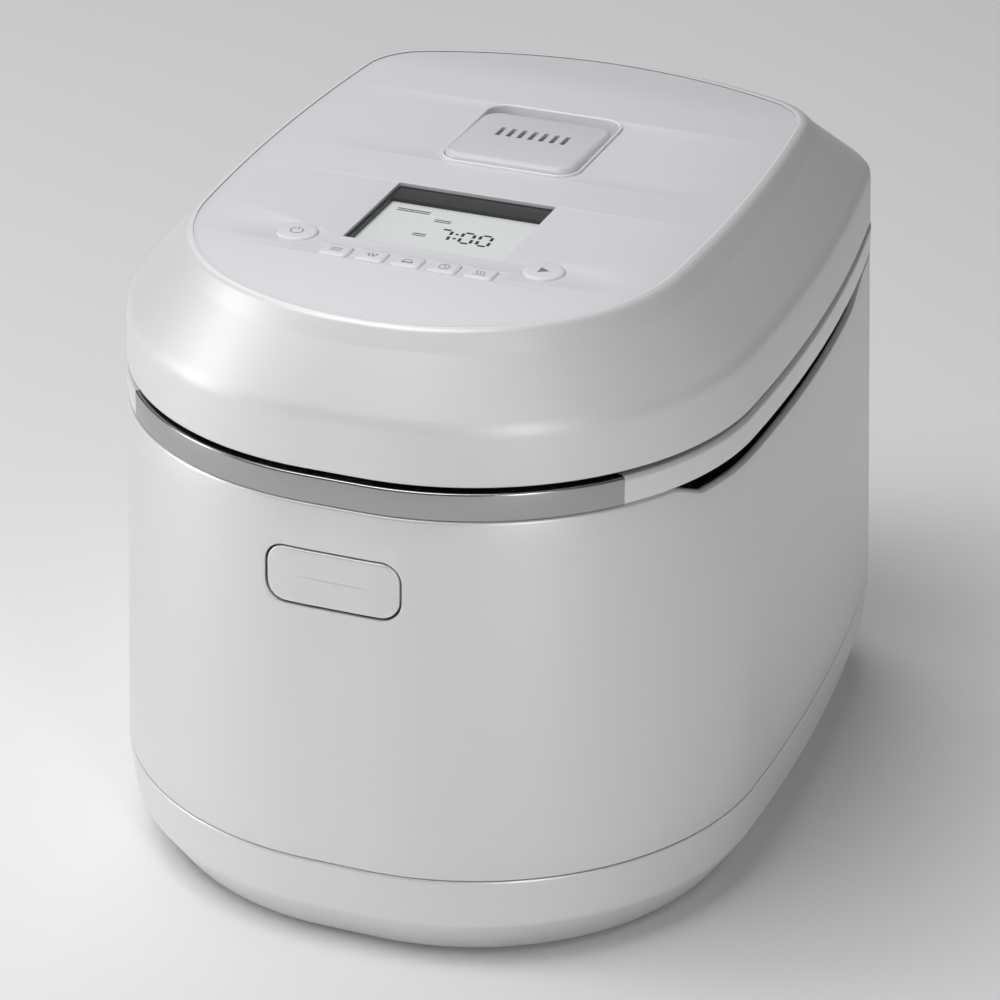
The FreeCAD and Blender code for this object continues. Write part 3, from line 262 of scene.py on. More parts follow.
def plate(name, loops, bottom, top, edge=0.0, sharp=35):
    """A flat plate with holes from closed loops, its edges rounded by edge."""
    curve = bpy.data.curves.new(name, "CURVE")
    curve.dimensions = "2D"
    curve.fill_mode = "BOTH"
    for loop in loops:
        spline = curve.splines.new("POLY")
        spline.points.add(len(loop) - 1)
        for point, place in zip(spline.points, loop):
            point.co = (place.x * MM, place.y * MM, 0, 1)
        spline.use_cyclic_u = True
    curve.extrude = ((top - bottom) / 2 - edge) * MM
    curve.bevel_depth = edge * MM
    curve.bevel_resolution = 2
    curve.offset = -edge * MM
    helper = bpy.data.objects.new(name, curve)
    bpy.context.scene.collection.objects.link(helper)
    depsgraph = bpy.context.evaluated_depsgraph_get()
    mesh = bpy.data.meshes.new_from_object(helper.evaluated_get(depsgraph))
    bpy.data.objects.remove(helper)
    bpy.data.curves.remove(curve)
    for vertex in mesh.vertices:
        vertex.co.z += (bottom + top) / 2 * MM
    made = bmesh.new()
    made.from_mesh(mesh)
    bpy.data.meshes.remove(mesh)
    return from_bmesh(name, made, sharp)


def prism(loop, start, end, axis="Z"):
    """A throw-away solid for cutting: a plan (Z) or front view (Y) loop, drawn out along the axis."""
    made = bmesh.new()
    rows = []
    for level in (start, end):
        if axis == "Z":
            places = [Vector((point.x, point.y, level)) for point in loop]
        else:
            places = [Vector((point.x, level, point.y)) for point in loop]
        rows.append([made.verts.new(place * MM) for place in places])
    for number in range(len(loop)):
        following = (number + 1) % len(loop)
        made.faces.new((rows[0][number], rows[0][following], rows[1][following], rows[1][number]))
    made.faces.new(rows[0])
    made.faces.new(list(reversed(rows[1])))
    return from_bmesh("cutter", made)


def cut(piece, cutters, sharp=35, bevel=0.0):
    """Take the cutters from the piece for good, and soften the new edges."""
    for cutter in cutters:
        modifier = piece.modifiers.new("cut", "BOOLEAN")
        modifier.operation = "DIFFERENCE"
        modifier.solver = "EXACT"
        modifier.object = cutter
    if bevel:
        soften = piece.modifiers.new("soften", "BEVEL")
        soften.width = bevel * MM
        soften.segments = 2
        soften.limit_method = "ANGLE"
        soften.angle_limit = math.radians(50)
    depsgraph = bpy.context.evaluated_depsgraph_get()
    mesh = bpy.data.meshes.new_from_object(piece.evaluated_get(depsgraph))
    piece.modifiers.clear()
    piece.data = mesh
    for cutter in cutters:
        bpy.data.objects.remove(cutter)
    for polygon in mesh.polygons:
        polygon.use_smooth = True
    mesh.set_sharp_from_angle(angle=math.radians(sharp))
    return piece


# ---------------------------------------------------------------- materials
def material(name, colour, roughness, metallic=0.0, coat=0.0, grain=None, mottle=0.0,
             alpha=1.0, painted_glow=0.0):
    """A Principled material: grain is (size in mm, strength) of fine bumps, mottle varies roughness, and
    the glow is painted light, an emission.
    """
    made = bpy.data.materials.new(name)
    made.use_nodes = True
    nodes, links = made.node_tree.nodes, made.node_tree.links
    shader = nodes["Principled BSDF"]
    shader.inputs["Base Color"].default_value = (*colour, 1)
    shader.inputs["Roughness"].default_value = roughness
    shader.inputs["Metallic"].default_value = metallic
    shader.inputs["Coat Weight"].default_value = coat
    shader.inputs["Coat Roughness"].default_value = 0.16
    shader.inputs["Alpha"].default_value = alpha
    shader.inputs["Emission Color"].default_value = (*colour, 1)
    shader.inputs["Emission Strength"].default_value = painted_glow
    place = nodes.new("ShaderNodeTexCoord")
    if mottle:
        cloud = nodes.new("ShaderNodeTexNoise")
        cloud.inputs["Scale"].default_value = 35
        cloud.inputs["Detail"].default_value = 4
        links.new(place.outputs["Object"], cloud.inputs["Vector"])
        spread = nodes.new("ShaderNodeMapRange")
        spread.inputs["To Min"].default_value = roughness - mottle
        spread.inputs["To Max"].default_value = roughness + mottle
        links.new(cloud.outputs["Fac"], spread.inputs["Value"])
        links.new(spread.outputs["Result"], shader.inputs["Roughness"])
    if grain:
        spacing, strength = grain
        fine = nodes.new("ShaderNodeTexNoise")
        fine.inputs["Scale"].default_value = 1 / (spacing * MM)
        fine.inputs["Detail"].default_value = 2
        links.new(place.outputs["Object"], fine.inputs["Vector"])
        bump = nodes.new("ShaderNodeBump")
        bump.inputs["Strength"].default_value = strength
        bump.inputs["Distance"].default_value = 0.02 * MM
        links.new(fine.outputs["Fac"], bump.inputs["Height"])
        links.new(bump.outputs["Normal"], shader.inputs["Normal"])
    return made


PAINT = {
    "body_white": material("body_white", (0.80, 0.80, 0.80), 0.40, metallic=0.55,
                           grain=(0.5, 0.25), mottle=0.03),
    "lid_white": material("lid_white", (0.82, 0.82, 0.82), 0.46, metallic=0.25, coat=0.12,
                          grain=(0.8, 0.12), mottle=0.02),
    "panel_grey": material("panel_grey", (0.76, 0.76, 0.79), 0.42, grain=(0.35, 0.3), mottle=0.04),
    "key_white": material("key_white", (0.80, 0.80, 0.82), 0.32, grain=(0.5, 0.15), mottle=0.03),
    "cap_white": material("cap_white", (0.70, 0.70, 0.74), 0.36, grain=(0.4, 0.25), mottle=0.03),
    "lip_white": material("lip_white", (0.86, 0.86, 0.87), 0.22, coat=0.3, mottle=0.02),
    "band_silver": material("band_silver", (0.42, 0.42, 0.424), 0.24, metallic=1.0,
                            grain=(0.25, 0.5), mottle=0.04),
    "handle_silver": material("handle_silver", (0.84, 0.84, 0.85), 0.34, metallic=0.35,
                              grain=(0.25, 0.4), mottle=0.04),
    "black": material("black", (0.012, 0.012, 0.012), 0.5, grain=(0.6, 0.5), mottle=0.06),
    # The cell glows a little: painted light, which brightens it where its recess shades it.
    "lcd": material("lcd", (0.78, 0.81, 0.80), 0.30, mottle=0.03, painted_glow=0.22),
    "lcd_ink": material("lcd_ink", (0.012, 0.013, 0.014), 0.5, mottle=0.05),
    "print_grey": material("print_grey", (0.20, 0.20, 0.22), 0.6, mottle=0.05),
    "window": material("window", (0.10, 0.11, 0.11), 0.05, alpha=0.06, mottle=0.01),
    "mask": material("mask", (0.020, 0.019, 0.018), 0.38, mottle=0.04),
    "steel": material("steel", (0.55, 0.56, 0.57), 0.35, metallic=1.0,
                      grain=(0.8, 0.3), mottle=0.08),
    "bright_steel": material("bright_steel", (0.72, 0.72, 0.73), 0.2, metallic=1.0, mottle=0.05),
    "aluminium": material("aluminium", (0.74, 0.74, 0.75), 0.3, metallic=1.0,
                          grain=(0.6, 0.2), mottle=0.06),
    "cast": material("cast", (0.04, 0.04, 0.042), 0.45, grain=(1.2, 1.0), mottle=0.08),
    "burner": material("burner", (0.42, 0.42, 0.42), 0.5, metallic=0.9,
                       grain=(0.9, 0.8), mottle=0.08),
    "brass": material("brass", (0.72, 0.53, 0.24), 0.28, metallic=1.0, mottle=0.06),
    "rubber": material("rubber", (0.02, 0.02, 0.02), 0.65, grain=(0.7, 0.6), mottle=0.05),
    "silicone": material("silicone", (0.62, 0.62, 0.60), 0.45, grain=(0.8, 0.2), mottle=0.05),
    "pot": material("pot", (0.035, 0.034, 0.034), 0.36, grain=(0.4, 0.5), mottle=0.05),
    "ceramic": material("ceramic", (0.82, 0.80, 0.74), 0.25, coat=0.4, mottle=0.04),
    "board": material("board", (0.02, 0.16, 0.07), 0.35, grain=(1.5, 0.3), mottle=0.06),
    "fibre": material("fibre", (0.74, 0.72, 0.66), 0.9, grain=(0.9, 1.0), mottle=0.05),
}

CAD_PAINT = {
    "steel": ("bottom_plate", "heat_shield", "hinge_brackets", "latch_bracket", "lid_hinge_arms",
              "latch_lever", "lid_catch", "heat_chamber", "lid_inner_frame"),
    "bright_steel": ("hinge_pin", "latch_pin", "base_screws", "sensor_spring", "latch_spring",
                     "hinge_spring", "drip_tray"),
    "aluminium": ("inner_lid", "sensor_cap", "gas_pipe"),
    "cast": ("pot_trivet",), "burner": ("burner_body", "burner_head", "gas_valve"),
    "brass": ("gas_injector", "gas_connector"), "rubber": ("rubber_feet", "mains_gland"),
    "silicone": ("inner_lid_gasket", "steam_duct"), "pot": ("inner_pot",),
    "ceramic": ("ignition_electrode", "flame_sensor"), "board": ("power_board", "control_board"),
    "fibre": ("lid_insulation",),
    "black": ("igniter_unit", "top_deck", "grip_pocket_left", "grip_pocket_right"),
    "body_white": ("rear_cover",),
}


def paint_frame():
    """A material for each CAD node that no piece stands for."""
    for paint, names in CAD_PAINT.items():
        for name in names:
            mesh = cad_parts[name].data
            mesh.materials.clear()
            mesh.materials.append(PAINT[paint])


def finish_piece(piece, paint, body, slot, *nodes):
    """Material, body and the CAD nodes that the piece stands for; the slot is not used."""
    piece.data.materials.clear()
    piece.data.materials.append(PAINT[paint])
    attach(piece, body)
    if nodes:
        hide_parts(*nodes)
    return piece


# ---------------------------------------------------------------- casing
def flare(height):
    """How far the drafted wall stands out at a height."""
    return FLARE * (BAND_LOW - height) / (BAND_LOW - SEAM)


GRIP_SILL = BAND_LOW - 5.3                          # the wall's edge under the grips
GRIP_FRONT = MIDDLE - 93.5
GRIP_REAR = MIDDLE + 108.0
GRIP_RUN = 12.0                                     # length of the slope from the sill to the band
LIP = 1.3                                           # radius of the wall's edge
WALL = 2.5
SIDE_WALL = 60.0                                    # the grips are farther from the middle than this
REAR_WALL = MIDDLE + 140
HOUSING_HALF = 68.0
HOUSING_SILL = low("rear_cover").z - 1
LOUVRE_LOW = 102.0
LOUVRE_PITCH = 8
LOUVRE_COUNT = 6
LOUVRE_HALF = (36, 2)
GAS_HOLE = 12
GLAND_HOLE = 7.1
BUTTON_GAP = 0.9
BUTTON_CORNER = 7.0
BUTTON_HALF_X = high("open_button").x
BUTTON_HALF_Z = (high("open_button").z - low("open_button").z) / 2 - 2    # without its hidden flange
BUTTON_Z = (high("open_button").z + low("open_button").z) / 2


def wall_top(point):
    """Height of the wall's edge: lower under the grips, and at the hinge housing."""
    if point.y > REAR_WALL and abs(point.x) < HOUSING_HALF - 1:
        return HOUSING_SILL
    if abs(point.x) < SIDE_WALL or not GRIP_FRONT < point.y < GRIP_REAR:
        return BAND_LOW
    front_rise = 1 - (point.y - GRIP_FRONT) / GRIP_RUN
    rear_rise = 1 - (GRIP_REAR - point.y) / (2 * GRIP_RUN)
    rise = max(0.0, front_rise, rear_rise)
    return GRIP_SILL + (BAND_LOW - GRIP_SILL) * rise


def outer_body():
    """The drafted wall with its rounded edge, and the openings for the button, louvres and fittings."""
    rows = 14
    tops = [wall_top(at(station, 0)) for station in CASING]
    rings = []

    def row(inset, height_of):
        loop = []
        for station, top in zip(CASING, tops):
            height = height_of(top)
            point = at(station, inset - flare(height))
            loop.append(Vector((point.x, point.y, height)))
        rings.append(loop)

    row(1.1, lambda top: SEAM + 0.2)
    row(0.25, lambda top: SEAM + 0.35)
    row(0, lambda top: SEAM + 1.0)
    for step in range(1, rows + 1):
        row(0, lambda top, step=step: SEAM + 1 + (top - LIP - SEAM - 1) * step / rows)
    for step in range(1, 6):
        angle = step / 5 * math.pi / 2
        row(LIP * (1 - math.cos(angle)), lambda top, angle=angle: top - LIP + LIP * math.sin(angle))
    row(WALL - 0.2, lambda top: top)
    row(WALL, lambda top: top - 0.6)
    row(WALL, lambda top: SEAM + 0.2)
    body = swept("casing_wall", rings)
    front = low("outer_body").y
    rear = high("outer_body").y
    button = rounded_loop(BUTTON_HALF_X + BUTTON_GAP, BUTTON_HALF_Z + BUTTON_GAP,
                          BUTTON_CORNER + BUTTON_GAP, (0, BUTTON_Z))
    cutters = [prism(button, front - 5, front + 14, "Y")]
    holes = [rounded_loop(*LOUVRE_HALF, 1.9, (0, LOUVRE_LOW + LOUVRE_PITCH * step))
             for step in range(LOUVRE_COUNT)]
    gland_z = (low("mains_gland").z + high("mains_gland").z) / 2
    holes.append(circle_loop(GAS_HOLE, (plan_centre("gas_connector").x, gland_z)))
    holes.append(circle_loop(GLAND_HOLE, (plan_centre("mains_gland").x, gland_z)))
    cutters += [prism(hole, rear - 12, rear + 4, "Y") for hole in holes]
    cut(body, cutters, bevel=0.25)
    finish_piece(body, "body_white", "body", "white_body", "outer_body")


FACET = FOOT + 17.2                                 # the base turns inwards below this height
FACET_FLARE = 2.7
TUCK = 9.6                                          # how far the foot stands back


def base_ring():
    """The base: a short upright wall, then a facet that tucks in to the foot."""
    joint = SEAM - 0.15
    floor = FOOT + WALL
    outer = rounded([(-FLARE + 1.3, joint), (-FLARE + 0.25, joint), (-FLARE, SEAM - 0.9),
                     (-FACET_FLARE, FACET), (TUCK, FOOT), (22, FOOT), (22, floor)],
                    (0.2, 0.3, 7, 4, 0.8), steps=8)
    inner = [(TUCK + 3, floor), (WALL - FACET_FLARE, FACET), (WALL - FLARE, joint)]
    rings = [ring(inset, height) for inset, height in [*outer, *inner]]
    finish_piece(swept("base_ring_skin", rings), "body_white", "body", "white_body", "base_ring")


def station_near(x, y):
    """Number of the casing station nearest to a place."""
    return min(range(len(CASING)), key=lambda number: (at(CASING[number], 0) - Vector((x, y))).length)


BAND_JOINT = high("front_band").y
BAND_END = high("handle_right").y


def bands():
    """The trim band: a darker front length and a rounded grip on each side."""
    foot = BAND_LOW + 0.3
    flat = rounded([(1.5, foot), (0, foot), (0, BAND_TOP), (3, BAND_TOP), (3, foot)],
                   (0.5, 0.9, 0.5), steps=4)
    soft = rounded([(2, foot), (0, foot), (0, BAND_TOP), (4.6, BAND_TOP), (4.6, foot)],
                   (0.9, 2.1, 0.5), steps=7)
    flat_rings = [ring(inset, height) for inset, height in flat]
    soft_rings = [ring(inset, height) for inset, height in soft]
    reach = high("front_band").x
    count = len(CASING)
    front_left = station_near(-reach, BAND_JOINT)
    front_right = station_near(reach, BAND_JOINT)
    rear_right = station_near(HALF_WIDTH, BAND_END)
    rear_left = station_near(-HALF_WIDTH, BAND_END)
    pieces = (("front_band_trim", flat_rings, front_left, front_right + count,
               "band_silver", "front_band"),
              ("handle_right_trim", soft_rings, front_right, rear_right,
               "handle_silver", "handle_right"),
              ("handle_left_trim", soft_rings, rear_left, front_left,
               "handle_silver", "handle_left"))
    for name, rings, first, last, paint, node in pieces:
        made = span(name, rings, first, last)
        finish_piece(made, paint, "body", "silver_band", node)


def wall_front(across, height):
    """Depth (Y) of the casing's front wall at a place on it."""
    front = [station for station in CASING if at(station, 0).y < MIDDLE]
    ahead = min(front, key=lambda station: abs(at(station, 0).x - across))
    return at(ahead, -flare(height)).y


def on_wall(point, depth):
    """A point (across, height) of a front view laid on the front wall, depth behind its face."""
    return Vector((point.x, wall_front(point.x, point.y) + depth, point.y))


def open_button():
    """Flush with the wall and curved like it, with a softened edge, and a black ring of painted shade in
    the gap round it.
    """
    def outline(grow):
        corner = max(BUTTON_CORNER + grow, 0.1)
        return dense(rounded_loop(BUTTON_HALF_X + grow, BUTTON_HALF_Z + grow, corner, (0, BUTTON_Z)))

    profile = rounded([(2.2, 4.0), (0, 4.0), (0, 0), (2.4, 0)], (0.3, 0.8), steps=4)
    rings = []
    for inset, depth in [*profile, (4.5, 0), (7, 0), (9.2, 0), (BUTTON_HALF_Z - 0.15, 0)]:
        rings.append([on_wall(point, depth) for point in outline(-inset)])
    button = swept("open_button_face", rings, closed=False, caps=True, sharp=60)
    # A black ring set in the gap round the button: painted shade, where the gap falls dark.
    gap_shade = []
    near, far = 0.2, BUTTON_GAP - 0.05
    face, back = 1.3, 2.3
    for grow, depth in ((near, face), (far, face), (far, back), (near, back)):
        gap_shade.append([on_wall(point, depth) for point in outline(grow)])
    finish_piece(swept("button_gap_shade", gap_shade), "black", "body", "black_plastic")
    finish_piece(button, "body_white", "open_button", "white_body", "open_button")


def dense(loop, parts=14):
    """A rounded rectangle's loop with its four straight runs divided."""
    corner = len(loop) // 4
    result = []
    for number, (here, following) in enumerate(zip(loop, loop[1:] + loop[:1]), 1):
        share = parts if number % corner == 0 else 1
        result += [here.lerp(following, part / share) for part in range(share)]
    return result


# ---------------------------------------------------------------- lid
ARM_MIDDLE = 41.0                                   # from the middle to the middle of each hinge arm
CREASE = BAND_TOP + 23.5                            # where the upright edge turns into the slope
LID_RUN = 20.0                                      # where the profile's slope meets the panel's seam
LID_EDGE = 0.9                                      # how far the upright edge stands back
PANEL_SHEET = 1.5                                   # thickness of the panel


def lid_shell():
    """The lid: an upright lower edge, a soft crease, and a slope that rolls over to the panel's seam."""
    top = TOP + 0.35
    outer = rounded([(2.4, LID_LOW + 0.2), (0.3, LID_LOW), (LID_EDGE, CREASE),
                     (0.74 * LID_RUN, top - 7.6), (LID_RUN - 1.2, top), (LID_RUN, top)],
                    (1.1, 14, 12, 3.4), steps=9)
    rings = []
    for across, height in outer:
        if across <= 2.4 and height < CREASE:
            rings.append(ring(across, height))
        else:
            share = max(0.0, across - LID_EDGE) / (LID_RUN - LID_EDGE)
            rings.append(ring(LID_EDGE, height, blend=share))
    rings.append(ring(0, TOP - 0.2, 1, 0.12))
    rings.append(ring(0, TOP - PANEL_SHEET, 1, 0.15))
    rings.append(ring(0, TOP - PANEL_SHEET, 1, 5))
    rings.append(ring(0, TOP - 2.5, 1, 5))
    rings.append(ring(0, TOP - 3.4, 1, 1.2))
    rings.append(ring(3.4, CREASE - 1))
    rings.append(ring(2.8, LID_LOW + 0.6))
    skin = swept("lid_skin", rings, sharp=40)
    rear = high("lid_shell").y
    notch = rounded_loop(12.5, 6, 1.5, (0, LID_LOW + 2))
    cutters = []
    for side in (-1, 1):
        loop = [Vector((point.x + side * ARM_MIDDLE, point.y)) for point in notch]
        cutters.append(prism(loop, rear - 8, rear + 4, "Y"))
    cut(skin, cutters, sharp=40)
    finish_piece(skin, "lid_white", "lid", "white_lid", "lid_shell")


def panel_loop(inset):
    """The panel's outline, moved in by inset."""
    return [at(station, inset) for station in PANEL]


KEY_NODES = ("key_menu", "key_texture", "key_crust", "key_timer", "key_keep_warm")
ROUND_KEY_NODES = ("key_cancel", "key_cook")


def plan_centre(node):
    """Middle of a node's plan box."""
    return Vector(((low(node).x + high(node).x) / 2, (low(node).y + high(node).y) / 2))


def key_half(node):
    """Half sizes of the key's cap, without the flange hidden under the panel."""
    flange = 1.2 if node in ROUND_KEY_NODES else 1.0
    return (high(node).x - low(node).x) / 2 - flange, (high(node).y - low(node).y) / 2 - flange


def box_loop(node, grow, radius):
    """A rounded loop round a node's plan box."""
    half_x = (high(node).x - low(node).x) / 2 + grow
    half_y = (high(node).y - low(node).y) / 2 + grow
    return rounded_loop(half_x, half_y, radius, plan_centre(node))


STEAM_CORNER = 9.0
STEAM_FALL = 1.4                                    # how far the cap's top falls towards the rear
WINDOW_CORNER = 0.8
KEY_CORNER = 1.7
GAP = 0.1                                           # round each key, the window and the steam well


def top_panel():
    """The panel with its holes, and a black ring below the seam round it: painted shade in the seam."""
    # A black ring below the seam: painted shade in the gap between the panel and the lid.
    gap_shade = plate("panel_seam_shade", [panel_loop(0.17), panel_loop(0.6)], TOP - 1.48, TOP - 0.5)
    finish_piece(gap_shade, "black", "lid", "black_plastic")
    loops = [panel_loop(0.65), box_loop("lcd_window", GAP, WINDOW_CORNER),
             box_loop("steam_housing", GAP, STEAM_CORNER)]
    for node in KEY_NODES:
        half_x, half_y = key_half(node)
        loops.append(rounded_loop(half_x + GAP, half_y + GAP, KEY_CORNER + GAP, plan_centre(node)))
    for node in ROUND_KEY_NODES:
        loops.append(circle_loop(key_half(node)[0] + GAP, plan_centre(node)))
    panel = plate("panel_sheet", loops, TOP - PANEL_SHEET, TOP, edge=0.12)
    finish_piece(panel, "panel_grey", "lid", "panel", "top_panel")


def domed(name, loop_of, bottom, top, edge, run, rings=6):
    """A key cap: a straight side that rolls over into its top; loop_of(inset) gives its outline."""
    profile = [(0, bottom), (0, top - edge)]
    for step in range(1, rings + 1):
        angle = step / rings * math.pi / 2
        profile.append((run * (1 - math.cos(angle)), top - edge + edge * math.sin(angle)))
    loops = [[Vector((point.x, point.y, height)) for point in loop_of(inset)]
             for inset, height in profile]
    return swept(name, loops, closed=False, caps=True, sharp=50)


def keys():
    """The seven key caps, each with its symbol."""
    top = high("key_menu").z
    bottom = low("key_menu").z
    for node in KEY_NODES + ROUND_KEY_NODES:
        half_x, half_y = key_half(node)
        centre = plan_centre(node)
        if node in ROUND_KEY_NODES:
            def outline(inset):
                return circle_loop(half_x - inset, centre)
        else:
            def outline(inset):
                return rounded_loop(half_x - inset, half_y - inset, KEY_CORNER - inset, centre)
        cap = domed(node + "_cap", outline, bottom, top, edge=0.75, run=1.6)
        finish_piece(cap, "key_white", node, "white_key", node)
        symbol(node, centre, top)


# ---------------------------------------------------------------- symbols printed on the keys
def bar(start, end, width):
    """A thin stroke as a rounded loop."""
    start, end = Vector(start), Vector(end)
    ahead = (end - start).normalized()
    side = Vector((-ahead.y, ahead.x)) * width / 2
    return [start - side, end - side, end + side, start + side]


def arc_bar(centre, radius, start, end, width, steps=24):
    """A curved stroke."""
    def place(reach, step):
        angle = start + (end - start) * step / steps
        return Vector((centre[0] + reach * math.cos(angle), centre[1] + reach * math.sin(angle)))
    outer = [place(radius + width / 2, step) for step in range(steps + 1)]
    inner = [place(radius - width / 2, step) for step in range(steps, -1, -1)]
    return outer + inner


def wave(x, height, width):
    """A small upright steam wave."""
    steps = 14
    left, right = [], []
    for step in range(steps + 1):
        t = step / steps
        middle = x + 0.45 * math.sin(TURN * t)
        left.append(Vector((middle - width / 2, (t - 0.5) * height)))
        right.append(Vector((middle + width / 2, (t - 0.5) * height)))
    return left + right[::-1]


STROKE = 0.32
THICK_STROKE = 0.4
PROUD = 0.04                                        # how far the print stands out
SYMBOLS = {
    "key_menu": [bar((-2.2, y), (2.2, y), STROKE) for y in (1.1, 0, -1.1)],
    "key_texture": [circle_loop(0.5, place, 16)
                    for place in ((-1.6, 0.7), (0, 0.7), (1.6, 0.7), (-0.8, -0.6), (0.8, -0.6))],
    "key_crust": [bar((-2.2, -1.2), (2.2, -1.2), 0.8), arc_bar((0, -0.6), 1.7, 0, math.pi, STROKE)],
    "key_timer": [arc_bar((0, 0), 1.9, 0, TURN - 0.001, STROKE, 40), bar((0, 0), (0, 1.2), STROKE),
                  bar((0, 0), (0.9, -0.5), STROKE)],
    "key_keep_warm": [*(wave(x, 2.6, STROKE) for x in (-1.3, 0, 1.3)),
                      bar((-2.2, -1.9), (2.2, -1.9), STROKE)],
    "key_cancel": [arc_bar((0, 0), 2.3, math.radians(115), math.radians(425), THICK_STROKE, 40),
                   bar((0, 0.9), (0, 3.0), THICK_STROKE)],
    "key_cook": [[Vector((-1.6, 2.2)), Vector((-1.6, -2.2)), Vector((2.2, 0))]],
}


def symbol(node, centre, top):
    """A key's printed symbol, on its top."""
    loops = [[centre + point for point in loop] for loop in SYMBOLS[node]]
    mark = plate(node + "_symbol", loops, top - 0.1, top + PROUD)
    finish_piece(mark, "print_grey", node, "white_key")


# ---------------------------------------------------------------- display
SEGMENTS = {"7": "abc", "0": "abcdef"}
SLANT = -0.1                                        # sideways lean per unit of height
STROKE_GAP = 0.62                                   # left at each end of a stroke, times its thickness


def digit(character, origin, width, height, thick):
    """Slanted seven-segment strokes of one digit, with a small gap between strokes."""
    corners = {"a": ((0, 1), (1, 1)), "b": ((1, 1), (1, 0.5)), "c": ((1, 0.5), (1, 0)),
               "d": ((0, 0), (1, 0)), "e": ((0, 0.5), (0, 0)), "f": ((0, 1), (0, 0.5))}
    strokes = []
    for name in SEGMENTS[character]:
        ends = [origin + Vector((u * width + v * height * SLANT, v * height))
                for u, v in corners[name]]
        gap = (ends[1] - ends[0]).normalized() * thick * STROKE_GAP
        strokes.append(bar(ends[0] + gap, ends[1] - gap, thick))
    return strokes


MASK_REAR = 10.6                                    # depth of the dark border behind the picture
MASK_SIDE = 1.4
DIGITS = (("7", 0.0), ("0", 8.9), ("0", 15.7))      # each digit and its place right of the first
DIGIT_SIZE = (4.4, 8.9, 1.2)                        # width, height, thickness of the strokes
COLON = (6.7, (2.6, 6.4))                           # place right of the first digit, heights of its dots
MARKS = ((-9.2, 5.0, 0.5), (-6.4, 6.5, 14.4), (-23.2, 13.0, 19.5))  # double lines: left, length, height


def display():
    """A clear window over a dark border, and below it the pale liquid-crystal cell with its marks."""
    lower, upper = low("lcd_window"), high("lcd_window")
    middle = plan_centre("lcd_window")
    half_x, half_y = (upper.x - lower.x) / 2, (upper.y - lower.y) / 2
    glass = plate("window_pane", [rounded_loop(half_x, half_y, WINDOW_CORNER, middle)],
                  lower.z, upper.z + 0.15, edge=0.1)
    finish_piece(glass, "window", "lid", "clear_window", "lcd_window")
    cell_top = high("lcd_module").z
    cell = plate("lcd_cell", [rounded_loop(half_x - 0.3, half_y - 0.3, 0.4, middle)],
                 low("lcd_module").z, cell_top)
    finish_piece(cell, "lcd", "lid", "lcd", "lcd_module")
    picture_x = half_x - MASK_SIDE / 2
    picture_y = half_y - MASK_REAR / 2
    picture = (middle.x + MASK_SIDE / 2, middle.y - MASK_REAR / 2)
    border = plate("display_border", [rounded_loop(half_x + 0.5, half_y + 0.5, 1, middle),
                                      rounded_loop(picture_x, picture_y, 0.6, picture)],
                   cell_top + 0.1, lower.z - 0.05)
    finish_piece(border, "mask", "lid", "black_plastic")
    ink = []
    base = Vector((picture[0] - 2.7, picture[1] - 4.6))
    for character, offset in DIGITS:
        ink += digit(character, base + Vector((offset, 0)), *DIGIT_SIZE)
    across, dots = COLON
    for rise in dots:
        ink.append(rounded_loop(0.6, 0.6, 0.3, base + Vector((across + rise * SLANT, rise)), 3))
    for start, length, rise in MARKS:
        for line in (0, 1.5):
            left = base + Vector((start, rise + line))
            ink.append(bar(left, left + Vector((length, 0)), 0.6))
    marks = plate("lcd_marks", ink, cell_top - 0.02, cell_top + 0.05)
    finish_piece(marks, "lcd_ink", "lid", "lcd")


# ---------------------------------------------------------------- steam cap and its well
def steam_loop(inset, height):
    """The steam well's outline, moved in by inset."""
    loop = rounded_loop((high("steam_housing").x - low("steam_housing").x) / 2 - inset,
                        (high("steam_housing").y - low("steam_housing").y) / 2 - inset,
                        STEAM_CORNER - 0.1 - min(inset, 7), plan_centre("steam_housing"), steps=12)
    return [Vector((point.x, point.y, height)) for point in loop]


def steam_housing():
    """The well round the cap, with a rolled lip and the duct's hole in its floor."""
    lower, upper = low("steam_housing").z, high("steam_housing").z
    profile = rounded([(0, lower), (0, upper), (1.3, upper), (1.3, lower + 1.2), (2.5, lower + 1.2)],
                      (0.45, 0.7, 0.8), steps=5)
    rings = [steam_loop(inset, height) for inset, height in profile]
    well = swept("steam_well", rings, closed=False, caps=True)
    cut(well, [prism(circle_loop(9, plan_centre("steam_duct")), lower - 2, lower + 4)])
    finish_piece(well, "lip_white", "lid", "white_cap", "steam_housing")


CAP_CORNER = 7.4
CAP_EDGE = 2.6                                      # radius of the cap's rolled edge
SLOT_HALF = (0.95, 4.3)
SLOT_PITCH = 4.35


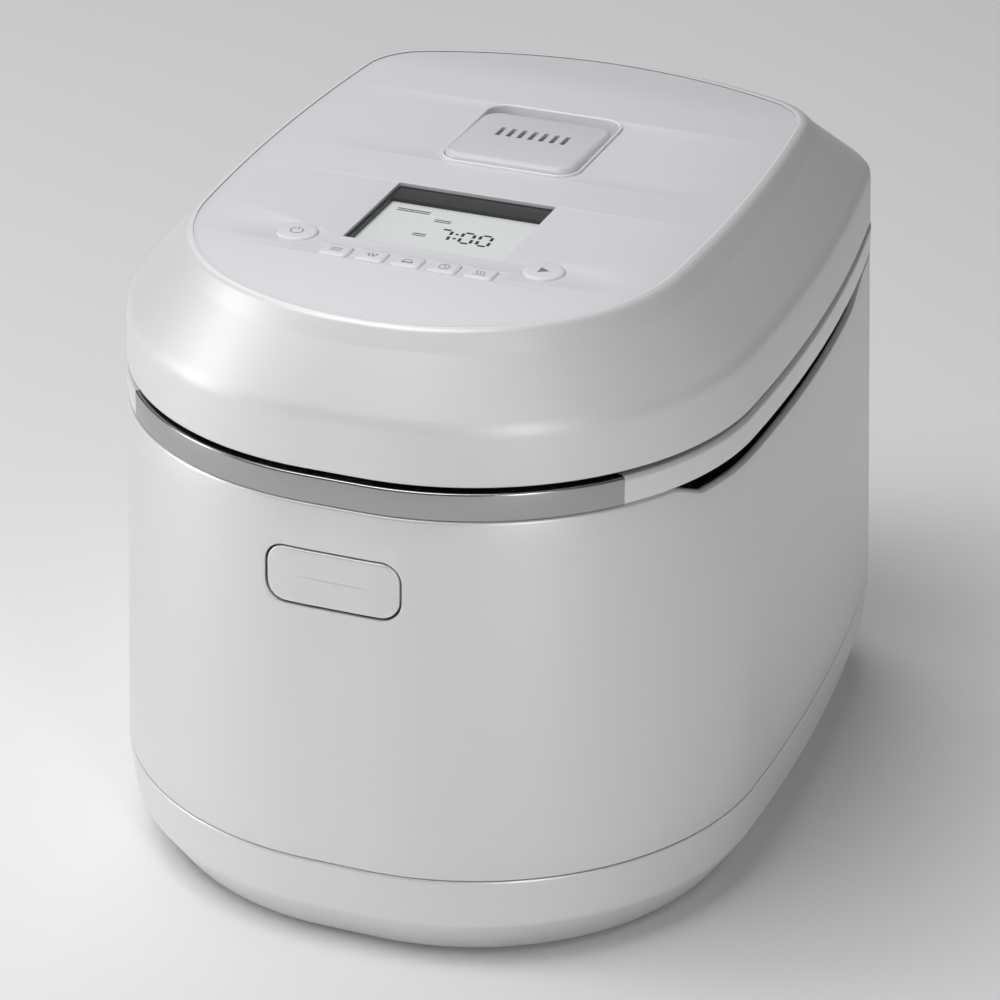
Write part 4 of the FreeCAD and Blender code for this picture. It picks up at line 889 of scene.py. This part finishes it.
def steam_cap():
    """The lift-out cap: its top falls to the rear, and a black plate under its slots is painted shade
    inside them.
    """
    lower, upper = low("steam_cap"), high("steam_cap")
    centre = plan_centre("steam_cap")
    half_x, half_y = (upper.x - lower.x) / 2, (upper.y - lower.y) / 2
    front_top, rear_top = upper.z, upper.z - STEAM_FALL

    def top_at(y):
        return front_top + (rear_top - front_top) * (y - lower.y) / (upper.y - lower.y)

    profile = [(0, None, lower.z), (0, -CAP_EDGE, None)]
    for step in range(1, 8):
        angle = step / 7 * math.pi / 2
        profile.append((CAP_EDGE * (1 - math.cos(angle)), -CAP_EDGE + CAP_EDGE * math.sin(angle), None))
    rings = []
    for inset, drop, fixed in profile:
        loop = rounded_loop(half_x - inset, half_y - inset, CAP_CORNER - inset, centre, steps=12)
        rings.append([Vector((point.x, point.y, top_at(point.y) + drop if fixed is None else fixed))
                      for point in loop])
    cap = swept("steam_cap_top", rings, closed=False, caps=True, sharp=50)
    slot_y = plan_centre("steam_duct").y
    cutters = [prism(rounded_loop(*SLOT_HALF, 0.3, (SLOT_PITCH * step, slot_y), 3),
                     upper.z - 12, upper.z + 2) for step in range(-3, 4)]
    cutters.append(prism(rounded_loop(half_x - 2, half_y - 2, 5, centre), lower.z - 1, rear_top - 2.2))
    cut(cap, cutters, sharp=50)
    finish_piece(cap, "cap_white", "steam_cap", "white_cap", "steam_cap")
    # A black plate under the slots: painted shade inside the hollow cap.
    slot_shade = plate("steam_slot_shade", [rounded_loop(half_x - 2.3, half_y - 2.3, 4.6, centre)],
                   rear_top - 5.2, rear_top - 4.2)
    finish_piece(slot_shade, "black", "steam_cap", "black_plastic")


# ---------------------------------------------------------------- stage
LIGHTS = (("key", -30, 66, 1.7, 1.2, 1.0, 15.5),    # azimuth, elevation, distance, size, power
          ("back", -140, 50, 2.2, 1.6, 1.2, 12),
          ("left_strip", -66, 12, 1.4, 0.35, 0.9, 5.5),
          ("right_strip", 38, 14, 1.5, 0.25, 0.9, 4.2))


def stage():
    """A plain pale floor."""
    floor = bpy.data.meshes.new("floor")
    reach = 6.0
    corners = [(-reach, -reach, 0), (reach, -reach, 0), (reach, reach, 0), (-reach, reach, 0)]
    floor.from_pydata(corners, [], [(0, 1, 2, 3)])
    ground = bpy.data.objects.new("floor", floor)
    bpy.context.scene.collection.objects.link(ground)
    ground.data.materials.append(material("floor_paper", (0.90, 0.90, 0.90), 0.8, grain=(3, 0.1)))


def area_light(name, azimuth, elevation, distance, width, height, power):
    """A soft light aimed at the object; azimuth 0 is at the front, 90 on the right."""
    light = bpy.data.lights.new(name, "AREA")
    light.shape = "RECTANGLE"
    light.size, light.size_y = width, height
    light.energy = power
    lamp = bpy.data.objects.new(name, light)
    turn, lift = math.radians(azimuth), math.radians(elevation)
    back = Vector((math.sin(turn) * math.cos(lift), -math.cos(turn) * math.cos(lift), math.sin(lift)))
    lamp.location = Vector((0, 0, 0.15)) + back * distance
    lamp.rotation_mode = "QUATERNION"
    lamp.rotation_quaternion = (-back).to_track_quat("-Z", "Y")
    bpy.context.scene.collection.objects.link(lamp)


def lighting():
    """Soft studio light: a large key from above, one from behind, and a strip on each side."""
    world = bpy.data.worlds.new("studio")
    world.use_nodes = True
    world.node_tree.nodes["Background"].inputs["Color"].default_value = (0.95, 0.96, 1.0, 1)
    world.node_tree.nodes["Background"].inputs["Strength"].default_value = 0.10
    bpy.context.scene.world = world
    bpy.context.scene.view_settings.view_transform = "Standard"
    for setting in LIGHTS:
        area_light(*setting)


CAMERA_AZIMUTH = 21.77
CAMERA_ELEVATION = 27.11
CAMERA_DISTANCE = 1718.4
CAMERA_LENS = 161.4
CAMERA_TARGET = Vector((1.6, MIDDLE + 3.0, FOOT + 110.15))


def camera():
    """At the photograph's angle: front right, looking down."""
    data = bpy.data.cameras.new("camera")
    data.lens = CAMERA_LENS
    data.sensor_width = 36
    data.clip_end = 50
    eye = bpy.data.objects.new("camera", data)
    turn, lift = math.radians(CAMERA_AZIMUTH), math.radians(CAMERA_ELEVATION)
    back = Vector((math.sin(turn) * math.cos(lift), -math.cos(turn) * math.cos(lift), math.sin(lift)))
    eye.location = (CAMERA_TARGET + back * CAMERA_DISTANCE) * MM
    eye.rotation_mode = "QUATERNION"
    eye.rotation_quaternion = (-back).to_track_quat("-Z", "Y")
    bpy.context.scene.collection.objects.link(eye)
    bpy.context.scene.camera = eye


camera()
stage()
lighting()
paint_frame()
outer_body()
base_ring()
bands()
open_button()
lid_shell()
top_panel()
keys()
display()
steam_housing()
steam_cap()
